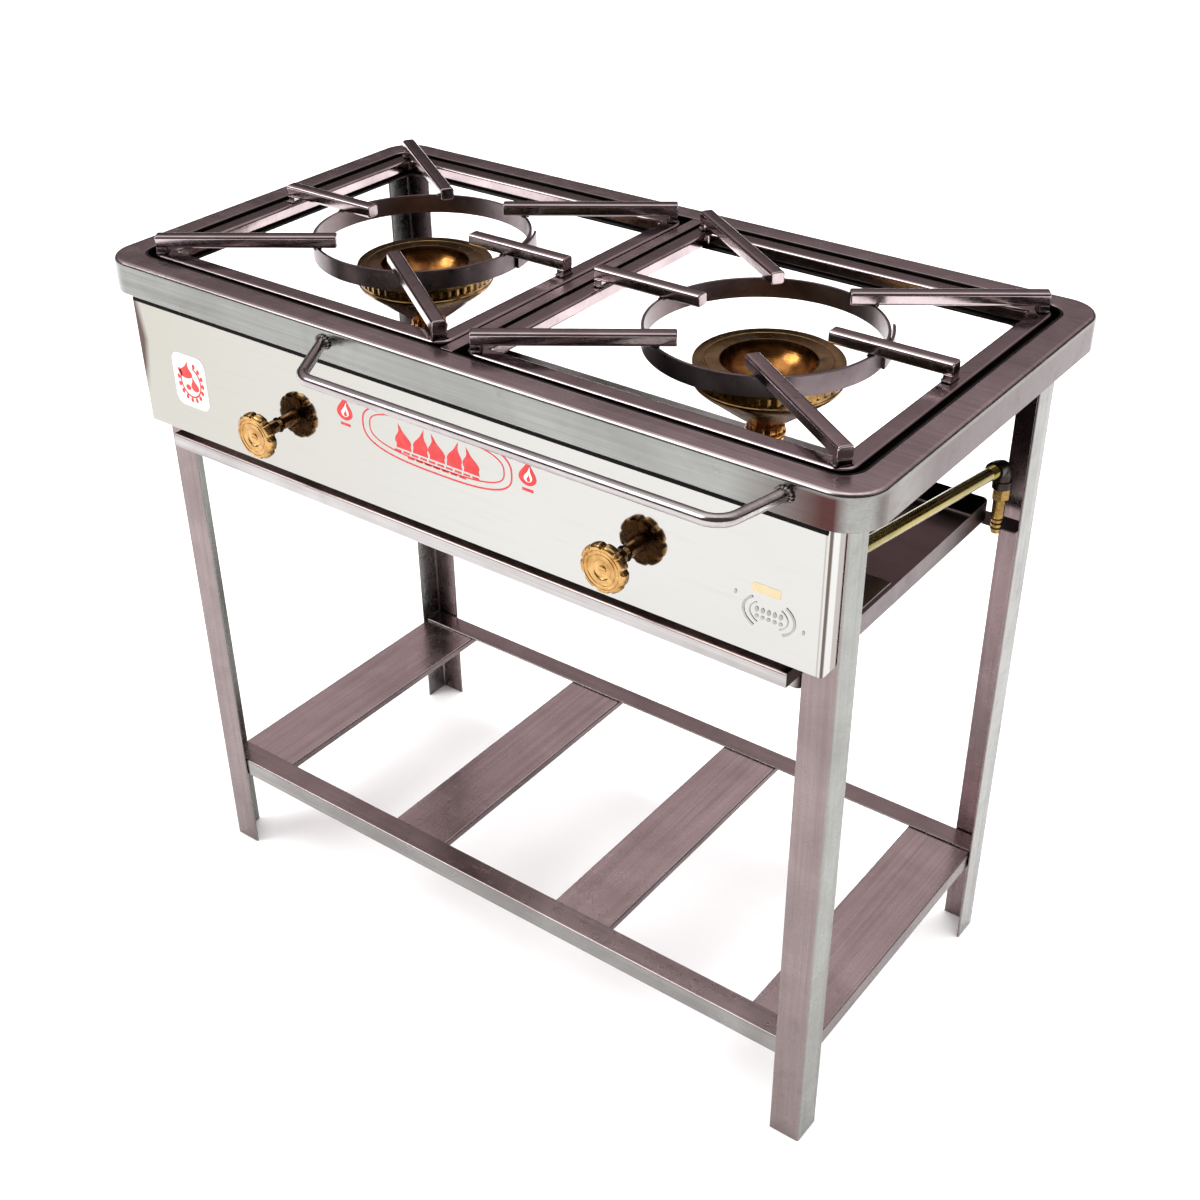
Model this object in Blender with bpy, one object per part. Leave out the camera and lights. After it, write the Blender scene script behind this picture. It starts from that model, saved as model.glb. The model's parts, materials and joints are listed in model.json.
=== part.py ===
"""Floor-standing two-burner gas stove: metres, +Z up, front towards -Y, one object per piece.

Every piece is drawn with the four legs centred on the Z axis, then set back by SHIFT, which
puts the origin under the middle of the whole stove, handrail and knobs included.
"""

import math

import bmesh
import bpy
from mathutils import Matrix, Vector

GAP = 0.0003  # clearance between pieces that touch

# Rim, legs and ledge
TOP = 0.7342  # top face of the rim, and of the grate frames
RIM_X, RIM_Y = 0.420, 0.2203  # rim half sizes
RIM_BAND = 0.0326
RIM_FLANGE = 0.0255
FLANGE_CORNER = 0.022  # inner corners of the flange
RIM_RADIUS = 0.035
RIM_T = 0.0018
LEG_X, LEG_Y = 0.3926, 0.1899  # outer faces of the legs
ANGLE = 0.0326  # flange of the leg angle
ANGLE_T = 0.0025
LEDGE_DROP = 0.0130  # top of the ledge under TOP
LEDGE_WIDTH = 0.0315
LEDGE_T = 0.0015
BAR_WIDTH = 0.0125

# Front
PANEL_Y, PANEL_X = -0.2129, 0.3905
PANEL_LOW = 0.565
PANEL_T = 0.0012
PANEL_RETURN = 0.0220
KNOB_Z = 0.6127
KNOB_RADIUS = 0.0228
KNOB_FACE = -0.2449
RAIL_Z, RAIL_Y = 0.7205, -0.285
RAIL_RADIUS = 0.0055

# Tray and shelf
TRAY_X, TRAY_LOW, TRAY_TOP = 0.3597, 0.5236, 0.5480
GRIP_LOW, GRIP_TOP = 0.5430, 0.5570  # folded pull along the tray's front
TRAY_FRONT, TRAY_BACK = -0.2129, 0.1570
SHELF_TOP = 0.1227
SHELF_Y = 0.1871
SLATS = ((-0.3896, -0.312), (-0.150, -0.0777), (0.0737, 0.144), (0.3155, 0.3896))

# Burners and gas line
SIDE_X = 0.2011  # burner, valve and knob axis
BURNER_Y = 0.004
BURNER_TOP = 0.706
BURNER_RADIUS = 0.068
BURNER_HOLE = 0.043
NECK_RADIUS = 0.0165
MOUTH_Y = -0.1290  # open end of the mixing tube
MANIFOLD_Y, MANIFOLD_Z = -0.165, 0.635
PIPE_RADIUS = 0.0085
SIDE_PIPE = 0.0064
FITTING = 0.0092
PIPE_FRONT = (0.364, -0.165, 0.635)
PIPE_REAR = (0.373, 0.146, 0.592)
BARB_LOW = 0.522

# Grates
GRATE_X, GRATE_HALF_X, GRATE_Y = 0.198, 0.188, 0.1868
GRATE_BAR, GRATE_DEEP = 0.018, 0.0127
ARM_TOP, ARM_DEEP, ARM_WIDTH = 0.7522, 0.0124, 0.014
RING_RADIUS, RING_T, RING_LOW = 0.108, 0.003, 0.7205

SHIFT = -(RAIL_Y - RAIL_RADIUS + RIM_Y) / 2

LOOKS = {
    "steel": ((0.42, 0.40, 0.39), 1.0, 0.34),
    "mirror": ((0.80, 0.79, 0.76), 1.0, 0.10),
    "grate": ((0.33, 0.28, 0.28), 1.0, 0.38),
    "bronze": ((0.30, 0.16, 0.07), 1.0, 0.30),
    "brass": ((0.72, 0.52, 0.24), 1.0, 0.25),
    "gold": ((0.70, 0.60, 0.32), 1.0, 0.30),
    "black": ((0.02, 0.02, 0.02), 0.0, 0.50),
    "cast": ((0.04, 0.035, 0.03), 0.4, 0.60),
}


# ---------------------------------------------------------------- tools
def clear_scene():
    for obj in list(bpy.data.objects):
        bpy.data.objects.remove(obj, do_unlink=True)


def look(name, kind):
    colour, metallic, rough = LOOKS[kind]
    material = bpy.data.materials.new(name)
    material.use_nodes = True
    shader = material.node_tree.nodes["Principled BSDF"]
    shader.inputs["Base Color"].default_value = (*colour, 1)
    shader.inputs["Metallic"].default_value = metallic
    shader.inputs["Roughness"].default_value = rough
    return material


def make(name, bm, kind, origin=(0, 0, 0)):
    """The piece as an object whose own origin is at the given point."""
    bmesh.ops.recalc_face_normals(bm, faces=bm.faces)
    bmesh.ops.translate(bm, verts=bm.verts, vec=-Vector(origin))
    mesh = bpy.data.meshes.new(name)
    bm.to_mesh(mesh)
    bm.free()
    obj = bpy.data.objects.new(name, mesh)
    obj.location = Vector(origin) + Vector((0, SHIFT, 0))
    bpy.context.scene.collection.objects.link(obj)
    mesh.materials.append(look(name, kind))
    return obj


def cutter(name, bm, origin=(0, 0, 0)):
    obj = make(name, bm, "black", origin)
    obj.hide_render = True
    obj.display_type = "WIRE"
    return obj


def combine(obj, other, operation="DIFFERENCE"):
    other.hide_render = True
    other.display_type = "WIRE"
    step = obj.modifiers.new(other.name, "BOOLEAN")
    step.operation = operation
    step.solver = "EXACT"
    step.object = other


def skin(bm, rings, closed=False):
    """Quads between rings of points: capped at both ends, or joined end to start."""
    rows = [[bm.verts.new(point) for point in ring] for ring in rings]
    pairs = list(zip(rows, rows[1:]))
    if closed:
        pairs.append((rows[-1], rows[0]))
    else:
        bm.faces.new(rows[0][::-1])
        bm.faces.new(rows[-1])
    for low, high in pairs:
        for i in range(len(low)):
            j = (i + 1) % len(low)
            bm.faces.new((low[i], low[j], high[j], high[i]))


def box(bm, x, y, z):
    skin(bm, [[(x[a], y[b], level) for a, b in ((0, 0), (1, 0), (1, 1), (0, 1))] for level in z])


def prism(outline, axis, start, end):
    """An outline drawn out along X (outline in y, z), Y (x, z) or Z (x, y)."""
    place = {
        "X": lambda t, u, v: (t, u, v),
        "Y": lambda t, u, v: (u, t, v),
        "Z": lambda t, u, v: (u, v, t),
    }[axis]
    bm = bmesh.new()
    skin(bm, [[place(t, u, v) for u, v in outline] for t in (start, end)])
    return bm


def lathe(outline, centre=(0, 0, 0), axis="Z", segments=40):
    """A closed outline of (radius, height) pairs turned about an axis through centre."""
    bm = bmesh.new()
    rings = []
    for k in range(segments):
        c, s = math.cos(math.tau * k / segments), math.sin(math.tau * k / segments)
        if axis == "Z":
            rings.append([(r * c, r * s, h) for r, h in outline])
        else:
            rings.append([(r * s, h, r * c) for r, h in outline])
    skin(bm, rings, closed=True)
    bmesh.ops.remove_doubles(bm, verts=bm.verts, dist=1e-6)
    bmesh.ops.translate(bm, verts=bm.verts, vec=Vector(centre))
    return bm


def rounded(points, radius, steps=5):
    """The points of a path with each inner corner turned into an arc."""
    points = [Vector(p) for p in points]
    path = [points[0]]
    for before, corner, after in zip(points, points[1:], points[2:]):
        a, b = (before - corner).normalized(), (after - corner).normalized()
        half = a.angle(b) / 2
        reach = radius / math.tan(half)
        centre = corner + (a + b).normalized() * (radius / math.sin(half))
        start, end = corner + a * reach - centre, corner + b * reach - centre
        sweep = start.angle(end)
        for k in range(steps + 1):
            t = sweep * k / steps
            path.append(centre + (start * math.sin(sweep - t) + end * math.sin(t)) / math.sin(sweep))
    return path + [points[-1]]


def pipe(bm, path, outer, inner=0, segments=16):
    """A round rod or pipe along a path; a pipe's wall runs between its two radii."""
    path = [Vector(p) for p in path]
    rings, side = [], None
    for i, point in enumerate(path):
        along = (path[min(i + 1, len(path) - 1)] - path[max(i - 1, 0)]).normalized()
        if side is None:
            side = along.orthogonal().normalized()
        side = (side - along * side.dot(along)).normalized()
        other = along.cross(side)
        turns = [math.tau * k / segments for k in range(segments)]
        rings.append([(point, side * math.cos(t) + other * math.sin(t)) for t in turns])
    if not inner:
        skin(bm, [[p + n * outer for p, n in ring] for ring in rings])
        return
    tour = [[p + n * outer for p, n in ring] for ring in rings]
    tour += [[p + n * inner for p, n in ring] for ring in rings[::-1]]
    skin(bm, tour, closed=True)


def round_loop(half_x, half_y, radius, inset, steps=6, corner=None):
    """Points round a rectangle with rounded corners, moved in by inset, or with corners given."""
    left = corner or max(radius - inset, 0.0005)
    points = []
    for sx, sy, start in ((1, 1, 0), (-1, 1, 90), (-1, -1, 180), (1, -1, 270)):
        for k in range(steps + 1):
            turn = math.radians(start + 90 * k / steps)
            points.append(
                (
                    sx * (half_x - inset - left) + left * math.cos(turn),
                    sy * (half_y - inset - left) + left * math.sin(turn),
                )
            )
    return points


def band(half_x, half_y, radius, section, centre=(0, 0), steps=6):
    """A section carried round a rounded rectangle: (inset, height) or (inset, height, corner)."""
    section = [(*point, None)[:3] for point in section]
    loops = [round_loop(half_x, half_y, radius, inset, steps, turn) for inset, _, turn in section]
    rings = []
    for k in range(len(loops[0])):
        rings.append(
            [
                (loop[k][0] + centre[0], loop[k][1] + centre[1], height)
                for loop, (_, height, _) in zip(loops, section)
            ]
        )
    bm = bmesh.new()
    skin(bm, rings, closed=True)
    return bm


def angle_section(width, height, t, u=1, v=1):
    """An L: one leg along u, one along v, outer corner at 0, 0."""
    points = [(0, 0), (width, 0), (width, t), (t, t), (t, height), (0, height)]
    return [(a * u, b * v) for a, b in points]


def moved(outline, du, dv):
    return [(u + du, v + dv) for u, v in outline]


# ---------------------------------------------------------------- frame
def top_rim():
    r = 0.004
    bend = [
        (r - r * math.cos(math.radians(a)), TOP - r + r * math.sin(math.radians(a)))
        for a in (0, 30, 60, 90)
    ]
    section = [(0, TOP - RIM_BAND)] + bend + [
        (RIM_FLANGE, TOP, FLANGE_CORNER),
        (RIM_FLANGE, TOP - RIM_T, FLANGE_CORNER),
        (r, TOP - RIM_T),
        (RIM_T, TOP - r),
        (RIM_T, TOP - RIM_BAND),
    ]
    make("top_rim", band(RIM_X, RIM_Y, RIM_RADIUS, section), "steel")


def ledge():
    half_x, half_y = RIM_X - RIM_FLANGE - GAP, RIM_Y - RIM_FLANGE - GAP
    low = TOP - LEDGE_DROP - LEDGE_T
    section = [
        (0, TOP - GAP),
        (LEDGE_T, TOP - GAP),
        (LEDGE_T, TOP - LEDGE_DROP),
        (LEDGE_WIDTH, TOP - LEDGE_DROP, 0.012),
        (LEDGE_WIDTH, low, 0.012),
        (0, low),
    ]
    make("grate_ledge", band(half_x, half_y, FLANGE_CORNER - GAP, section), "steel")


def centre_bar():
    half, low, high = BAR_WIDTH / 2, TOP - LEDGE_DROP - LEDGE_T, TOP
    t, foot = LEDGE_T, 0.022
    hat = [
        (-foot, low), (-half + t, low), (-half + t, high - t), (half - t, high - t),
        (half - t, low), (foot, low), (foot, low + t), (half, low + t), (half, high),
        (-half, high), (-half, low + t), (-foot, low + t),
    ]
    reach = RIM_Y - RIM_FLANGE - GAP - LEDGE_T - GAP
    bar = make("centre_bar", prism(hat, "Y", -reach, reach), "steel")
    clear = RIM_Y - RIM_FLANGE - GAP - LEDGE_WIDTH - GAP
    for name, sign in (("bar_end_front", -1), ("bar_end_rear", 1)):
        bm = bmesh.new()
        ys = sorted((sign * clear, sign * (reach + 0.01)))
        box(bm, (-0.03, 0.03), ys, (low - 0.01, TOP - LEDGE_DROP + GAP))
        combine(bar, cutter(name, bm))


def legs():
    high = TOP - LEDGE_DROP - LEDGE_T - GAP
    for end, sy in (("front", 1), ("rear", -1)):
        for side, sx in (("left", 1), ("right", -1)):
            section = moved(angle_section(ANGLE, ANGLE, ANGLE_T, sx, sy), -sx * LEG_X, -sy * LEG_Y)
            make(f"leg_{end}_{side}", prism(section, "Z", 0, high), "steel")


def front_panel():
    x, y, t, back, lip = PANEL_X, PANEL_Y, PANEL_T, PANEL_Y + PANEL_RETURN, 0.014
    r = 0.003
    outer, inner = [], []
    for k in range(4):
        turn = math.radians(30 * k)
        c, s = math.cos(turn), math.sin(turn)
        outer.append((x - r + r * s, y + r - r * c))
        inner.append((x - r + (r - t) * s, y + r - (r - t) * c))
    half = [*outer, (x, back), (x - lip, back), (x - lip, back - t), (x - t, back - t), *inner[::-1]]
    outline = half + [(-u, v) for u, v in half[::-1]]
    high = TOP - LEDGE_DROP - LEDGE_T - GAP
    panel = make("front_panel", prism(outline, "Z", PANEL_LOW, high), "mirror")
    for side, sx in (("left", -1), ("right", 1)):
        hole = lathe([(0, -0.01), (0.0075, -0.01), (0.0075, 0.01), (0, 0.01)], axis="Y", segments=20)
        bmesh.ops.translate(hole, verts=hole.verts, vec=(sx * SIDE_X, y, KNOB_Z))
        combine(panel, cutter(f"knob_hole_{side}", hole))


def handrail():
    front = -RIM_Y - GAP
    corners = [
        (-0.120, front, RAIL_Z), (-0.084, RAIL_Y, RAIL_Z),
        (0.338, RAIL_Y, RAIL_Z), (0.352, front, RAIL_Z),
    ]
    path = rounded(corners, 0.020, 6)
    bm = bmesh.new()
    pipe(bm, path, RAIL_RADIUS, segments=14)
    for vert in bm.verts:
        vert.co.y = min(vert.co.y, front)
    make("handrail", bm, "steel")


def shelf():
    deep = 0.0215
    for end, sy in (("front", 1), ("rear", -1)):
        section = moved(angle_section(0.026, deep, 0.002, sy, -1), -sy * SHELF_Y, SHELF_TOP)
        reach = LEG_X - ANGLE_T - GAP
        make(f"shelf_rail_{end}", prism(section, "X", -reach, reach), "steel")
    high, t = SHELF_TOP - 0.002 - GAP, 0.0015
    reach = SHELF_Y - 0.002 - GAP
    for number, (left, right) in enumerate(SLATS, 1):
        deep_l = 0.018 if number == 1 else 0.008
        deep_r = 0.018 if number == len(SLATS) else 0.008
        outline = [
            (left, high), (left, high - deep_l), (left + t, high - deep_l), (left + t, high - t),
            (right - t, high - t), (right - t, high - deep_r), (right, high - deep_r), (right, high),
        ]
        make(f"shelf_slat_{number}", prism(outline, "Y", -reach, reach), "steel")


def tray():
    x, t, low, high = TRAY_X - GAP, 0.0010, TRAY_LOW, TRAY_TOP
    wall = -LEG_Y + 0.0020
    bm = bmesh.new()
    box(bm, (-x, x), (wall, TRAY_BACK), (low, high))
    pan = make("drip_tray", bm, "steel")
    bm = bmesh.new()
    box(bm, (-x, x), (TRAY_FRONT, wall + t), (GRIP_LOW, GRIP_TOP))
    combine(pan, cutter("tray_grip", bm), "UNION")
    bm = bmesh.new()
    box(bm, (-x + t, x - t), (TRAY_FRONT + t, wall), (GRIP_LOW - 0.01, GRIP_TOP - t))
    combine(pan, cutter("tray_grip_inside", bm))
    bm = bmesh.new()
    box(bm, (-x + t, x - t), (wall + t, TRAY_BACK - t), (low + t, GRIP_TOP + 0.01))
    combine(pan, cutter("tray_inside", bm))
    reach = LEG_X - ANGLE_T - GAP
    for end, front, back in (("front", -0.172, -0.158), ("rear", 0.1530, 0.176)):
        bm = bmesh.new()
        box(bm, (-reach, reach), (front, back), (low - GAP - 0.0020, low - GAP))
        make(f"tray_rest_{end}", bm, "steel")


# ---------------------------------------------------------------- burners
def burner(side, sx):
    x = sx * SIDE_X
    centre = (x, BURNER_Y, 0)
    edge, wall = BURNER_TOP - 0.0175, 0.0025
    outline = [
        (NECK_RADIUS, 0.6300), (NECK_RADIUS, 0.6330), (NECK_RADIUS + 0.0025, 0.6345),
        (NECK_RADIUS + 0.0025, 0.6375), (NECK_RADIUS, 0.6390), (NECK_RADIUS, 0.6450),
        (0.024, 0.6520), (0.040, 0.6640), (0.056, 0.6765), (BURNER_RADIUS - 0.001, edge - 0.003),
        (BURNER_RADIUS, edge), (BURNER_RADIUS, BURNER_TOP - 0.0035 - GAP),
        (BURNER_RADIUS - wall, BURNER_TOP - 0.0035 - GAP), (BURNER_RADIUS - wall, edge),
        (0.054, 0.6800), (0.038, 0.6675), (0.022, 0.6555), (0.0125, 0.6480), (0.0125, 0.6300),
    ]
    make(f"burner_{side}", lathe(outline, centre, segments=48), "bronze", centre)
    low = BURNER_TOP - 0.0035
    cap = [
        (BURNER_RADIUS, low), (BURNER_RADIUS, BURNER_TOP - 0.001),
        (BURNER_RADIUS - 0.001, BURNER_TOP), (BURNER_HOLE + 0.001, BURNER_TOP),
        (BURNER_HOLE, BURNER_TOP - 0.001), (BURNER_HOLE - 0.003, BURNER_TOP - 0.010),
        (0.026, BURNER_TOP - 0.022), (0.010, BURNER_TOP - 0.026), (0, BURNER_TOP - 0.026),
        (0, BURNER_TOP - 0.0285), (0.011, BURNER_TOP - 0.0285), (0.028, BURNER_TOP - 0.0245),
        (BURNER_HOLE - 0.0005, BURNER_TOP - 0.011), (BURNER_HOLE + 0.002, low),
    ]
    make(f"burner_cap_{side}", lathe(cap, centre, segments=48), "bronze", (x, BURNER_Y, BURNER_TOP))


def mixing_tube(side, sx):
    x = sx * SIDE_X
    path = rounded(
        [(x, BURNER_Y, 0.6300 - GAP), (x, BURNER_Y, KNOB_Z), (x, MOUTH_Y, KNOB_Z)], 0.0165, 6
    )
    bm = bmesh.new()
    pipe(bm, path, 0.0125, 0.0100, segments=20)
    make(f"mixing_tube_{side}", bm, "cast")
    face = MOUTH_Y - GAP
    outline = [(0.0060, face), (0.0124, face), (0.0124, face - 0.0020), (0.0060, face - 0.0020)]
    shutter = make(
        f"air_shutter_{side}",
        lathe(outline, (x, 0, KNOB_Z), "Y", 28),
        "steel",
        (x, face, KNOB_Z),
    )
    for number, turn in enumerate((90, 210, 330), 1):
        bm = bmesh.new()
        r = math.radians(turn)
        at = Vector((x + 0.0092 * math.cos(r), 0, KNOB_Z + 0.0092 * math.sin(r)))
        pipe(bm, [at + Vector((0, face + 0.003, 0)), at + Vector((0, face - 0.006, 0))], 0.0020, segments=10)
        combine(shutter, cutter(f"air_hole_{side}_{number}", bm))


def valve(side, sx):
    x = sx * SIDE_X
    axis = (x, 0, KNOB_Z)
    body = [
        (0.0045, -0.2040), (0.0080, -0.2040), (0.0080, -0.1960), (0.0110, -0.1950),
        (0.0110, -0.1500), (0.0070, -0.1490), (0.0070, -0.1440), (0, -0.1440),
        (0, -0.1760), (0.0045, -0.1760),
    ]
    piece = make(f"valve_{side}", lathe(body, axis, "Y", 24), "brass", (x, -0.176, KNOB_Z))
    bm = bmesh.new()
    pipe(bm, [(x, MANIFOLD_Y, KNOB_Z + 0.004), (x, MANIFOLD_Y, MANIFOLD_Z - PIPE_RADIUS - GAP)], 0.0060)
    combine(piece, cutter(f"valve_neck_{side}", bm), "UNION")
    nozzle = [
        (0, -0.1440 + GAP), (0.0055, -0.1440 + GAP), (0.0055, -0.1380), (0.0035, -0.1370),
        (0.0030, -0.1240), (0.0008, -0.1230), (0.0008, -0.1300), (0, -0.1300),
    ]
    make(f"injector_{side}", lathe(nozzle, axis, "Y", 20), "brass", (x, -0.140, KNOB_Z))
    stem = [(0, -0.1760 - GAP), (0.0042, -0.1760 - GAP), (0.0042, -0.2330), (0, -0.2330)]
    make(f"valve_stem_{side}", lathe(stem, axis, "Y", 18), "brass", (x, -0.2, KNOB_Z))
    f, r = KNOB_FACE, KNOB_RADIUS
    knob = [
        (0, f), (r - 0.0035, f), (r - 0.0012, f + 0.0009), (r, f + 0.0032), (r, f + 0.0068),
        (r - 0.0012, f + 0.0090), (r - 0.0035, f + 0.0100), (0.0085, f + 0.0100),
        (0.0068, f + 0.0180), (0.0062, f + 0.0290), (0.0045, f + 0.0290), (0.0045, f + 0.0115),
        (0, f + 0.0115),
    ]
    make(f"knob_{side}", lathe(knob, axis, "Y", 40), "brass", (x, f, KNOB_Z))


# ---------------------------------------------------------------- gas line
def gas_line():
    left, joint = -0.245, PIPE_FRONT[0] - 0.017
    bm = bmesh.new()
    pipe(bm, [(left, MANIFOLD_Y, MANIFOLD_Z), (joint, MANIFOLD_Y, MANIFOLD_Z)], PIPE_RADIUS, 0.0062)
    make("manifold", bm, "gold")
    plug = [
        (0, left - GAP), (0.0105, left - GAP), (0.0105, left - 0.010), (0.0085, left - 0.012), (0, left - 0.012),
    ]
    cap = lathe(plug, segments=20)
    bmesh.ops.rotate(cap, verts=cap.verts, matrix=Matrix.Rotation(math.pi / 2, 3, "Y"))
    bmesh.ops.translate(cap, verts=cap.verts, vec=(0, MANIFOLD_Y, MANIFOLD_Z))
    make("manifold_cap", cap, "brass")

    front, rear = Vector(PIPE_FRONT), Vector(PIPE_REAR)
    along = (rear - front).normalized()
    bm = bmesh.new()
    start = Vector((joint + GAP, MANIFOLD_Y, MANIFOLD_Z))
    pipe(bm, rounded([start, front, front + along * 0.022], 0.0105, 4), FITTING + 0.0003, 0.0045)
    make("elbow_front", bm, "gold")
    bm = bmesh.new()
    pipe(bm, [front + along * (0.022 + GAP), rear - along * (0.022 + GAP)], SIDE_PIPE, 0.0045)
    make("side_pipe", bm, "gold")
    bm = bmesh.new()
    low = rear - Vector((0, 0, 0.022))
    pipe(bm, rounded([rear - along * 0.022, rear, low], 0.0105, 4), FITTING, 0.0045)
    make("elbow_rear", bm, "black")
    turned = [
        (0.0030, BARB_LOW), (0.0044, BARB_LOW), (0.0058, BARB_LOW + 0.005), (0.0046, BARB_LOW + 0.0052),
        (0.0060, BARB_LOW + 0.0100), (0.0048, BARB_LOW + 0.0102), (0.0062, BARB_LOW + 0.0150),
        (0.0050, BARB_LOW + 0.0152), (0.0060, BARB_LOW + 0.0170), (0.0060, BARB_LOW + 0.0350),
        (0.0080, BARB_LOW + 0.0360), (0.0086, BARB_LOW + 0.0370), (0.0086, low.z - GAP),
        (0.0030, low.z - GAP),
    ]
    make("hose_inlet", lathe(turned, (low.x, low.y, 0), segments=20), "brass")


def burner_rail():
    reach = LEG_X - ANGLE_T - GAP
    front = -LEG_Y + ANGLE_T + GAP
    high = KNOB_Z - 0.0125 - GAP
    outline = [
        (front, high), (front, high - 0.022), (front + 0.002, high - 0.022),
        (front + 0.002, high - 0.002), (-0.105, high - 0.002), (-0.105, high),
    ]
    make("burner_rail", prism(outline, "X", -reach, reach), "steel")


# ---------------------------------------------------------------- grates
def grate(side, sx):
    cx = sx * GRATE_X
    low, high = TOP - GRATE_DEEP, TOP
    r, inner = 0.0025, 0.005
    section = [
        (0, low), (0, high - r), (r, high), (GRATE_BAR - r, high, inner + r),
        (GRATE_BAR, high - r, inner), (GRATE_BAR, low, inner),
    ]
    frame = band(GRATE_HALF_X, GRATE_Y, 0.0160, section, (cx, 0))
    make(f"grate_frame_{side}", frame, "grate", (cx, 0, TOP))
    under = ARM_TOP - ARM_DEEP
    r = RING_RADIUS
    strip = [(r - RING_T, RING_LOW), (r, RING_LOW), (r, under - GAP), (r - RING_T, under - GAP)]
    make(f"grate_ring_{side}", lathe(strip, (cx, 0, 0), segments=56), "grate", (cx, 0, TOP))
    corner, end = (0.181, 0.181), (0.037, 0.081)
    arms = {"1": ((corner[0], 0), (0.065, 0)), "2": ((-corner[0], 0), (-0.065, 0))}
    number = 3
    for a, b in ((1, 1), (-1, 1), (-1, -1), (1, -1)):
        arms[str(number)] = ((a * corner[0], b * corner[1]), (a * end[0], b * end[1]))
        number += 1
    for key, (outer, inner) in arms.items():
        arm(f"grate_arm_{side}_{key}", cx, outer, inner)


def arm(name, cx, outer, inner):
    run = Vector(inner) - Vector(outer)
    length, turn = run.length, math.atan2(run.y, run.x)
    under, foot, r = ARM_TOP - ARM_DEEP, 0.009, 0.0035
    side = [
        (0, TOP + GAP), (foot, TOP + GAP), (foot, under), (length, under), (length, ARM_TOP - r),
        (length - 0.29 * r, ARM_TOP - 0.29 * r), (length - r, ARM_TOP), (r, ARM_TOP),
        (0.29 * r, ARM_TOP - 0.29 * r), (0, ARM_TOP - r),
    ]
    bm = prism(side, "Y", -ARM_WIDTH / 2, ARM_WIDTH / 2)
    bmesh.ops.rotate(bm, verts=bm.verts, matrix=Matrix.Rotation(turn, 3, "Z"))
    bmesh.ops.translate(bm, verts=bm.verts, vec=(cx + outer[0], outer[1], 0))
    make(name, bm, "grate", (cx + outer[0], outer[1], TOP))


def main():
    clear_scene()
    top_rim()
    ledge()
    centre_bar()
    legs()
    front_panel()
    handrail()
    shelf()
    tray()
    burner_rail()
    for side, sx in (("left", -1), ("right", 1)):
        burner(side, sx)
        mixing_tube(side, sx)
        valve(side, sx)
        grate(side, sx)
    gas_line()


main()
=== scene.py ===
"""Visual model of the floor-standing two-burner gas stove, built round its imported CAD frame.

Pieces are drawn with the four legs centred on the Z axis, as in the CAD source, and set back by
SHIFT, so the numbers here are the CAD's own, in metres.
"""

import json
import random
from math import atan2, copysign, cos, pi, radians, sin, tan, tau

import bmesh
import bpy
from mathutils import Matrix, Vector

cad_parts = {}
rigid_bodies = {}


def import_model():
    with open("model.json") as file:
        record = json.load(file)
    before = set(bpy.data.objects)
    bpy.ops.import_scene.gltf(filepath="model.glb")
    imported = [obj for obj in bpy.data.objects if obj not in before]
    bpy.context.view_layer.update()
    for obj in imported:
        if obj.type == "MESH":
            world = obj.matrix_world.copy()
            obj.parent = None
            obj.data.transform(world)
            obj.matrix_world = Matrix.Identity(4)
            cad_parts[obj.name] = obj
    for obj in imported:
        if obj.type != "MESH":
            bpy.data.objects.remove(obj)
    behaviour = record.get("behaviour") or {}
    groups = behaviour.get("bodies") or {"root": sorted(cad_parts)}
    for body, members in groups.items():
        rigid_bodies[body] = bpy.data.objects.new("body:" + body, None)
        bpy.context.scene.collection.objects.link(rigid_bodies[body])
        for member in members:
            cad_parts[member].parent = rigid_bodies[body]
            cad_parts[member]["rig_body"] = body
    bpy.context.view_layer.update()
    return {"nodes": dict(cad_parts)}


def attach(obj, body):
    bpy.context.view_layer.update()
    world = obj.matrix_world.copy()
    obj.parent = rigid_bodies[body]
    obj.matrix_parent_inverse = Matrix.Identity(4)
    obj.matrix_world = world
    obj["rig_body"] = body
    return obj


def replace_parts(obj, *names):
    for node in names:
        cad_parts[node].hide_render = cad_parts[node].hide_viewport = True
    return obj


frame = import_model()

SHIFT = 0.0351
GAP = 0.0003

TOP = 0.7342
RIM_X, RIM_Y = 0.42, 0.2203
RIM_BAND, RIM_FLANGE, RIM_RADIUS, RIM_T = 0.0326, 0.0255, 0.035, 0.0018
FLANGE_CORNER = 0.022
LEG_X, LEG_Y, ANGLE, ANGLE_T = 0.3926, 0.1899, 0.0326, 0.0025
LEDGE_DROP, LEDGE_T = 0.013, 0.0015
UNDER_LEDGE = TOP - LEDGE_DROP - LEDGE_T - GAP
PANEL_X, PANEL_Y, PANEL_LOW, PANEL_T, PANEL_RETURN = 0.3905, -0.2129, 0.565, 0.0012, 0.022
KNOB_Z, KNOB_RADIUS, KNOB_FACE = 0.6127, 0.0228, -0.2449
RAIL_Z, RAIL_Y, RAIL_RADIUS = 0.7205, -0.285, 0.0055
TRAY_X, TRAY_LOW, TRAY_TOP = 0.3594, 0.5236, 0.548
GRIP_LOW, GRIP_TOP, TRAY_FRONT, TRAY_BACK = 0.543, 0.557, -0.2129, 0.157
SHELF_TOP, SHELF_Y = 0.1227, 0.1871
SLATS = ((-0.3896, -0.312), (-0.15, -0.0777), (0.0737, 0.144), (0.3155, 0.3896))
SIDE_X, BURNER_Y, BURNER_TOP = 0.2011, 0.004, 0.706
BURNER_RADIUS, BURNER_HOLE, NECK_RADIUS = 0.068, 0.043, 0.0165
MOUTH_Y, MANIFOLD_Y, MANIFOLD_Z, PIPE_RADIUS = -0.129, -0.165, 0.635, 0.0085
PIPE_FRONT, PIPE_REAR, BARB_LOW = (0.364, -0.165, 0.635), (0.373, 0.146, 0.592), 0.522
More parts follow.
